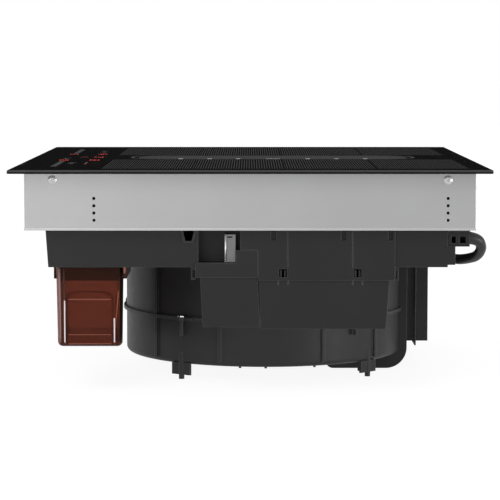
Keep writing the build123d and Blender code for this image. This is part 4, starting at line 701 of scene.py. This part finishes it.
class COOKTOP_OT_glass(bpy.types.Operator):
    """Make the glass top with its printed zones and the touch field's marks and digits"""

    bl_idname = "cooktop.glass"
    bl_label = "Glass and prints"

    def execute(self, context):
        """A closed band of rings: up the inlet's edge, over the top to the outer edge, round
        its facet and back underneath."""
        colours = context.scene.cooktop_colours
        low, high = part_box("glass_top")
        bottom, top = low.z, high.z - 0.06 * MM
        half_x, half_y, radius, middle_y = 0.050, 0.171, 0.046, 0.026
        opening = corner_arcs(half_x, half_y, radius, middle_y, 14)
        edge = corner_arcs(high.x, (high.y - low.y) / 2, 4.0 * MM, (high.y + low.y) / 2, 14)
        facet = 1.1 * MM
        bend = np.linspace(0.0, np.pi / 2, 6)
        rim = [(opening, -0.3 * MM, bottom), (opening, 0.0, bottom + 0.3 * MM),
               (opening, 0.0, top - 0.5 * MM), (opening, -0.15 * MM, top - 0.12 * MM),
               (opening, -0.5 * MM, top)]
        top_band = len(rim) - 1
        rim += [(edge, facet * (1 - math.sin(t)), top - facet * (1 - math.cos(t))) for t in bend]
        rim += [(edge, 0.0, bottom + 0.5 * MM), (edge, 0.5 * MM, bottom)]
        rings = [at_height(inset(line, d), z) for line, d, z in rim]
        faces = grid_faces(len(rim), len(edge), wrap_rows=True, wrap_columns=True)
        glass = surface("glass_plate", np.concatenate(rings), faces[:, ::-1], self.printed_glass(colours))
        band = np.repeat(np.arange(len(rim)), len(edge))
        glass.data.polygons.foreach_set("use_smooth", (band != top_band) & (band != len(rim) - 1))
        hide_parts("glass_top")
        self.touch_marks(colours, top + 0.02 * MM)
        return {"FINISHED"}

    def printed_glass(self, colours):
        """Gloss black ceramic glass. Each zone is filled with fine printed lines that run
        left to right, 2.8 mm apart, matt on the gloss, with a dark line between cells. The
        outer edge is ground grey; the inlet's edge is left matt and dark."""
        pitch, line_share, cell_start, cell_size, gap = 2.8 * MM, 0.36, -65.0 * MM, 101.0 * MM, 0.9 * MM
        zone_x, zone_y, edge_z = (56 * MM, 262 * MM), (-162.5 * MM, 240 * MM), (247.9 * MM, 249.9 * MM)
        print_z, inlet_edge_z, outer_reach, matt_rough = 249.85 * MM, 249.93 * MM, 230.0 * MM, 0.45
        material, tree, shader, place = blank_finish("ceramic_glass")
        x, y, z = add(tree, "ShaderNodeSeparateXYZ", {0: place}).outputs
        wide = math_node(tree, "ABSOLUTE", x)
        step = math_node(tree, "FRACT", math_node(tree, "DIVIDE", y, pitch))
        line = math_node(tree, "LESS_THAN", step, line_share)
        zone = product(tree, between(tree, wide, *zone_x), between(tree, y, *zone_y))
        cell = math_node(tree, "FLOORED_MODULO", math_node(tree, "SUBTRACT", y, cell_start), cell_size)
        flat = math_node(tree, "GREATER_THAN", z, print_z)
        mask = product(tree, line, zone, between(tree, cell, gap, cell_size - gap), flat)
        cloud = spread(tree, noise(tree, place, 12.0), 0.9, 1.1)
        body = shaded(tree, tuple(colours.glass), cloud)
        ink = shaded(tree, tuple(colours.print_grey), cloud)
        printed = add(tree, "ShaderNodeMix", {0: mask, 6: body, 7: ink}, data_type="RGBA").outputs[2]
        ground = shaded(tree, (0.040, 0.040, 0.042), cloud)
        outward = math_node(tree, "MAXIMUM", wide, math_node(tree, "ABSOLUTE", y))
        band = product(tree, between(tree, z, *edge_z), math_node(tree, "GREATER_THAN", outward, outer_reach))
        edge = add(tree, "ShaderNodeMix", {0: band, 6: printed, 7: ground}, data_type="RGBA")
        tree.links.new(edge.outputs[2], shader.inputs["Base Color"])
        worn = spread(tree, noise(tree, place, 160.0, 3.0), 0.02, 0.05)
        inner = product(tree, math_node(tree, "LESS_THAN", z, inlet_edge_z),
                        math_node(tree, "LESS_THAN", outward, outer_reach))
        rough = math_node(tree, "ADD", worn, product(tree, mask, matt_rough))
        rough = math_node(tree, "ADD", rough, product(tree, inner, matt_rough))
        tree.links.new(rough, shader.inputs["Roughness"])
        tree.links.new(spread(tree, mask, 0.08, 0.0), shader.inputs["Specular IOR Level"])
        return material

    def display(self, name, colour, low, high, strength):
        """A lit print: the colour, a little uneven, as base and as emission."""
        material, tree, shader, place = blank_finish(name)
        glow = shaded(tree, tuple(colour), spread(tree, noise(tree, place, 900.0), low, high))
        tree.links.new(glow, shader.inputs["Base Color"])
        tree.links.new(glow, shader.inputs["Emission Color"])
        shader.inputs["Emission Strength"].default_value = strength
        return material

    def touch_marks(self, colours, z):
        """Thin prints on the touch field: two grey slide bars, generic marks, and lit
        two-figure displays built of seven bars a figure. Boxes are x0, y0, x1, y1 in mm."""
        dim_share = 0.28
        lit = self.display("display_light", colours.display_red, 0.75, 1.15, 0.9)
        dim = self.display("display_dim", [dim_share * c for c in colours.display_red], 0.7, 1.2, 0.5)
        thin = dict(depth=0.01, edge=0.05, gloss=0.04)
        ink = moulded("mark_ink", (0.06, 0.06, 0.06), rough=0.5, **thin)
        pale = moulded("slider_ink", (0.016, 0.016, 0.016), rough=0.55, vary=0.25, **thin)
        bright = (("52", 70, -184.5, 11), ("37", 0, -184.5, 11), ("46", -82, -184.5, 11))
        side = (("09", 70, -220.5, 10), ("15", -82, -220.5, 10))
        bars = {
            "display_bright": (lit, self.figures(bright)),
            "display_side": (lit, self.figures(side)),
            "display_middle": (dim, self.figures((("18", -6, -202.0, 9),))),
            "timer_lines": (dim, [(122, -189.5, 163, -188.5), (-168.5, -192.6, -166.5, -187.5)]),
            "slide_bars": (pale, [(92, -223, 216, -217), (-216, -223, -92, -217)]),
            "field_marks": (ink, [
                (128, -210, 132, -201), (136, -207, 148, -204), (152, -210, 155, -201),
                (-152, -190, -149, -183), (-145, -188, -136, -185), (-120, -190, -117, -183),
                (20, -226, 23, -216), (28, -222, 38, -220),
            ]),
        }
        for name, (material, boxes) in bars.items():
            points = at_height(box_corners(boxes).reshape(-1, 2), z)
            faces = np.arange(len(points)).reshape(-1, 4)
            surface(name, points, faces, material, smooth=False)

    def figures(self, words):
        """Boxes (x0, y0, x1, y1) in mm of the lit bars of figures, their tops towards the
        back: each word is its text, middle X, middle Y and height."""
        lit_bars = {"0": "abcdef", "1": "bc", "2": "abdeg", "3": "abcdg", "4": "bcfg", "5": "acdfg",
                    "6": "acdefg", "7": "abc", "8": "abcdefg", "9": "abcdfg"}
        boxes = []
        for text, x, y, height in words:
            wide, bar, step = height * 0.52, height * 0.11, height * 0.78
            gap = bar * 1.4
            low, high = y - height / 2, y + height / 2
            for i, figure in enumerate(text):
                x0 = x + (i - len(text) / 2) * step
                x1 = x0 + wide
                spots = {"a": (x0, high - bar, x1, high), "g": (x0, y - bar / 2, x1, y + bar / 2),
                         "d": (x0, low, x1, low + bar), "f": (x0, y + bar, x0 + bar, high - gap),
                         "b": (x1 - bar, y + bar, x1, high - gap), "e": (x0, low + gap, x0 + bar, y - bar),
                         "c": (x1 - bar, low + gap, x1, y - bar)}
                boxes += [spots[key] for key in lit_bars[figure]]
        return boxes


class COOKTOP_OT_grille(bpy.types.Operator):
    """Make the cover grille over the air inlet, with its finger notch and bright inserts"""

    bl_idname = "cooktop.grille"
    bl_label = "Cover grille"

    def execute(self, context):
        """A plate with round corners and a rounded rim, cut in by the notch at its right."""
        corner, under, edge = 37.0 * MM, 0.08 * MM, 0.8 * MM
        low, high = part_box("inlet_grille")
        middle, top = (low.y + high.y) / 2, high.z - under
        outline = corner_arcs(high.x, (high.y - low.y) / 2, corner, middle, 16)
        outline = np.concatenate([outline, self.notch(high.x, middle)])
        colour = context.scene.cooktop_colours.grille_coat
        coat = moulded("grille_coat", colour, rough=0.6, grain=2600.0, depth=0.04, edge=0.3, gloss=0.03)
        bend = np.linspace(0, np.pi / 2, 5)
        rim = [(0.4 * MM, low.z), (0.0, low.z + 0.4 * MM)]
        rim += [(edge * (1 - math.cos(t)), top - edge * (1 - math.sin(t))) for t in bend]
        cover = plate("cover_grille", outline, rim, coat, "grille")
        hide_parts("inlet_grille")
        self.inserts(middle / MM, top)
        return {"FINISHED"}

    def notch(self, edge_x, middle):
        """The notch's outline from front to back: a rounded shoulder and a rounded inner
        corner, each a quarter turn, and the same mirrored about the middle."""
        half, depth, dip = 9.0 * MM, 5.0 * MM, 2.0 * MM
        turn = np.linspace(0, np.pi / 2, 5)
        x = np.concatenate([edge_x - dip * np.sin(turn) * 0.5,
                            edge_x - depth + dip * (1 - np.sin(turn)) * 0.5])
        y = np.concatenate([middle - half - dip * 0.5 + dip * 0.5 * (1 - np.cos(turn)),
                            middle - half + dip * 0.6 * (1 - np.cos(turn))])
        return np.concatenate([np.stack([x, y], 1), np.stack([x[::-1], 2 * middle - y[::-1]], 1)])

    def inserts(self, middle, top):
        """Bright boxes let into the cover's right side: three on each side of the notch, and
        a narrow bar by it. Their sizes and the middle are in mm."""
        x0, x1, half, bar_x0, bar_x1, bar_half = 31.5, 39.5, 2.6, 33.4, 35.6, 8.2
        bright = sheet_metal("insert_steel", (0.62, 0.62, 0.62), rough=0.5, stretch=EVEN, streak=300.0,
                             metallic=0.0)
        spots = [middle + offset for offset in (-110.0, -75.7, -41.6, 41.6, 75.7, 110.0)]
        boxes = [(x0, y - half, x1, y + half) for y in spots]
        boxes.append((bar_x0, middle - bar_half, bar_x1, middle + bar_half))
        corners = box_corners(boxes)
        points = np.concatenate([at_height(corners, z) for z in (top - 0.3 * MM, top + 0.03 * MM)], 1)
        quads = np.array([(3, 2, 1, 0), (4, 5, 6, 7), (0, 1, 5, 4), (1, 2, 6, 5), (2, 3, 7, 6), (3, 0, 4, 7)])
        faces = (quads[None] + 8 * np.arange(len(boxes))[:, None, None]).reshape(-1, 4)
        inserts = surface("grille_inserts", points.reshape(-1, 3), faces, bright, "grille", smooth=False)


class COOKTOP_OT_tank(bpy.types.Operator):
    """Make the clear amber drain tank with its raised panel"""

    bl_idname = "cooktop.tank"
    bl_label = "Drain tank"

    def execute(self, context):
        """The tank's finish, then beads: its panel's edge and arch in dark painted shade, its ribs as painted
        highlights, and corner bands of painted light and shade.
        """
        dress(self.clear_amber("tank_plastic", context.scene.cooktop_colours.tank, 0.93), "drain_tank")
        low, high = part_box("drain_tank")
        # The ridge beads are lighter as painted highlights; the shade beads are painted shade.
        ridge_highlight = self.clear_amber("tank_ridge_highlight", (0.42, 0.16, 0.11), 0.5)
        shade = self.clear_amber("tank_shade", (0.04, 0.012, 0.008), 0.3)

        def spot(y, drop, out=0.0):
            """Points of the tank's front face, which leans in 1 degree: Y, drop below its top
            and distance out of it in metres; Y and the drop are numbers or arrays."""
            y, drop = np.broadcast_arrays(y, drop)
            return np.stack([high.x - drop * math.tan(math.radians(1.0)) + out, y, high.z - drop], -1)

        y0, y1 = low.y + 14.6 * MM, high.y - 14.8 * MM
        self.panel(spot, y0, y1, shade)
        across = np.linspace(y0 + 2 * MM, y1 - 2 * MM, 9)
        for name, drop, size in (("tank_panel_top_rib", 35.2, 0.7), ("tank_panel_low_rib", 74.5, 0.45),
                                 ("tank_foot_rib", 84.6, 0.6)):
            bead(name, spot(across, drop * MM), size * MM, ridge_highlight, "tank")
        # These upright ribs are near white: painted highlights.
        for name, y, top in (("tank_left_rib", y0 - 2.4 * MM, 36.5), ("tank_right_rib", y1 + 1.6 * MM, 56.0)):
            gloss = self.clear_amber(name + "_painted_highlight", (0.80, 0.74, 0.76), 0.0)
            bead(name, spot(y, np.linspace(83.0, top, 9) * MM), 0.75 * MM, gloss, "tank")
        self.corner_bands(spot)
        return {"FINISHED"}

    def panel(self, spot, y0, y1, shade):
        """The raised panel's outline, up its left side, over its arch and down its right, and
        a flatter arch above it. Over u from -1 to 1 an arch rises by the square root of 1
        less u to the power 3.2."""
        foot, shoulder, arch_low, arch_rise, second_low, second_rise = 84.0, 36.0, 35.0, 8.6, 24.0, 4.6
        middle, half = (y0 + y1) / 2, (y1 - y0) / 2
        u = np.linspace(-1.0, 1.0, 41)
        rise = np.sqrt(np.clip(1 - np.abs(u) ** 3.2, 0, 1))
        left = spot(y0, np.linspace(foot, shoulder, 9) * MM)
        arch = spot(middle + half * u, (arch_low - arch_rise * rise) * MM)
        right = spot(y1, np.linspace(shoulder, foot, 9) * MM)
        bead("tank_panel_edge", np.concatenate([left, arch, right]), 0.55 * MM, shade, "tank")
        second_y = middle + (half - 8 * MM) * u * 0.8 + 1.5 * MM
        second = spot(second_y, (second_low - second_rise * rise) * MM)
        bead("tank_upper_arch", second, 0.35 * MM, shade, "tank")

    def corner_bands(self, spot):
        """Painted light and shade at the front's upright corners and beside its panel: a pale
        painted reflection, dim and dark painted shade, and a leaning orange line with a dark
        painted shade line beside it. They are straight beads sunk into the wall, each given by its Y
        at the top and at the bottom, its drops, radius and sink in mm."""
        finishes = {
            "pale": self.clear_amber("tank_painted_reflection", (0.30, 0.20, 0.20), 0.1),
            "dim": self.clear_amber("tank_dim_painted_shade", (0.10, 0.055, 0.05), 0.2),
            "dark": self.clear_amber("tank_dark_painted_shade", (0.006, 0.003, 0.003), 0.2),
            "orange": self.clear_amber("tank_orange_streak", (0.42, 0.12, 0.05), 0.3),
        }
        # The pale band is a painted reflection; the dim and dark bands are painted shade.
        bands = (
            ("tank_left_reflection_band", "pale", -211.0, -209.6, 1.0, 83.0, 1.5, 1.9),
            ("tank_left_shade_band", "dim", -206.4, -205.4, 1.0, 84.5, 1.1, 0.9),
            ("tank_right_shade_band", "dark", -143.0, -144.2, 1.0, 83.0, 1.8, 2.4),
            ("tank_orange_line", "orange", -146.4, -151.0, 26.0, 80.0, 0.7, 0.5),
            ("tank_streak_shade", "dark", -149.0, -148.4, 32.0, 82.0, 0.7, 0.6),
        )
        for name, finish, y_top, y_low, drop_top, drop_low, size, sink in bands:
            y, drop = np.linspace(y_low, y_top, 9) * MM, np.linspace(drop_low, drop_top, 9) * MM
            bead(name, spot(y, drop, -sink * MM), size * MM, finishes[finish], "tank", closed_ends=True)

    def clear_amber(self, name, colour, clear):
        """Clear tinted plastic: cloudy tint, faint moulding ripples in the bump, and a polish
        that is a little rubbed."""
        material, tree, shader, place = blank_finish(name)
        cloud = spread(tree, noise(tree, place, 30.0), 0.9, 1.1)
        tree.links.new(shaded(tree, tuple(colour), cloud), shader.inputs["Base Color"])
        shader.inputs["Transmission Weight"].default_value = clear
        tree.links.new(spread(tree, noise(tree, place, 70.0, 3.0), 0.03, 0.12), shader.inputs["Roughness"])
        shader.inputs["IOR"].default_value = 1.5
        shader.inputs["Specular Tint"].default_value = (0.09, 0.06, 0.055, 1.0)
        emboss(tree, shader, noise(tree, place, 45.0, 1.0), 0.15, 0.5)
        return material


class COOKTOP_OT_inside(bpy.types.Operator):
    """Finish the coils, boards and other pieces inside"""

    bl_idname = "cooktop.inside"
    bl_label = "Inside"

    def execute(self, context):
        """A copper finish for each side's windings, then the other pieces."""
        for side in ("left", "right"):
            winding = sheet_metal(f"{side}_winding", (0.62, 0.27, 0.12), rough=0.35, stretch=EVEN,
                                  streak=260.0, depth=0.2)
            dress(winding, *(f"{side}_coil_{i}" for i in (1, 2, 3, 4)))
        dress_all(moulded, (
            ("coil_carrier", (0.55, 0.54, 0.50), dict(rough=0.55),
             ("left_coil_carriers", "right_coil_carriers")),
            ("mica", (0.45, 0.38, 0.28), dict(rough=0.4, vary=0.3), ("mica_sheets",)),
            ("ferrite", (0.035, 0.035, 0.037), dict(rough=0.6), ("ferrite_bars",)),
            ("circuit_board", (0.03, 0.14, 0.06), dict(rough=0.35, vary=0.25),
             ("left_power_board", "right_power_board", "touch_board", "blower_board", "mains_filter_board")),
            ("sensor_body", (0.6, 0.6, 0.58), dict(rough=0.4), ("temperature_sensors",)),
        ))
        return {"FINISHED"}


OPERATORS = (
    COOKTOP_OT_stage,
    COOKTOP_OT_cable,
    COOKTOP_OT_glass,
    COOKTOP_OT_grille,
    COOKTOP_OT_steel,
    COOKTOP_OT_plastics,
    COOKTOP_OT_tank,
    COOKTOP_OT_inside,
)


class COOKTOP_PT_panel(bpy.types.Panel):
    """Lists the cooktop's pieces in the sidebar"""

    bl_idname = "COOKTOP_PT_panel"
    bl_label = "Cooktop"
    bl_space_type = "VIEW_3D"
    bl_region_type = "UI"
    bl_category = "Cooktop"

    def draw(self, context):
        """A button for each operator, then every property."""
        for operator in OPERATORS:
            self.layout.operator(operator.bl_idname)
        for group in GROUPS:
            values = getattr(context.scene, group)
            for name in values.__annotations__:
                self.layout.prop(values, name)


GROUPS = {"cooktop_colours": CooktopColours, "cooktop_sizes": CooktopSizes, "cooktop_stage": CooktopStage}
CLASSES = (*GROUPS.values(), *OPERATORS, COOKTOP_PT_panel)


def register():
    """Registers the groups, operators and panel."""
    for cls in CLASSES:
        bpy.utils.register_class(cls)
    for name, group in GROUPS.items():
        setattr(bpy.types.Scene, name, bpy.props.PointerProperty(type=group))


def unregister():
    """Takes the groups, operators and panel away again."""
    for name in GROUPS:
        delattr(bpy.types.Scene, name)
    for cls in CLASSES[::-1]:
        bpy.utils.unregister_class(cls)


def main():
    register()
    for operator in OPERATORS:
        group, action = operator.bl_idname.split(".")
        getattr(getattr(bpy.ops, group), action)()
    bpy.context.view_layer.update()


if __name__ == "__main__":
    main()
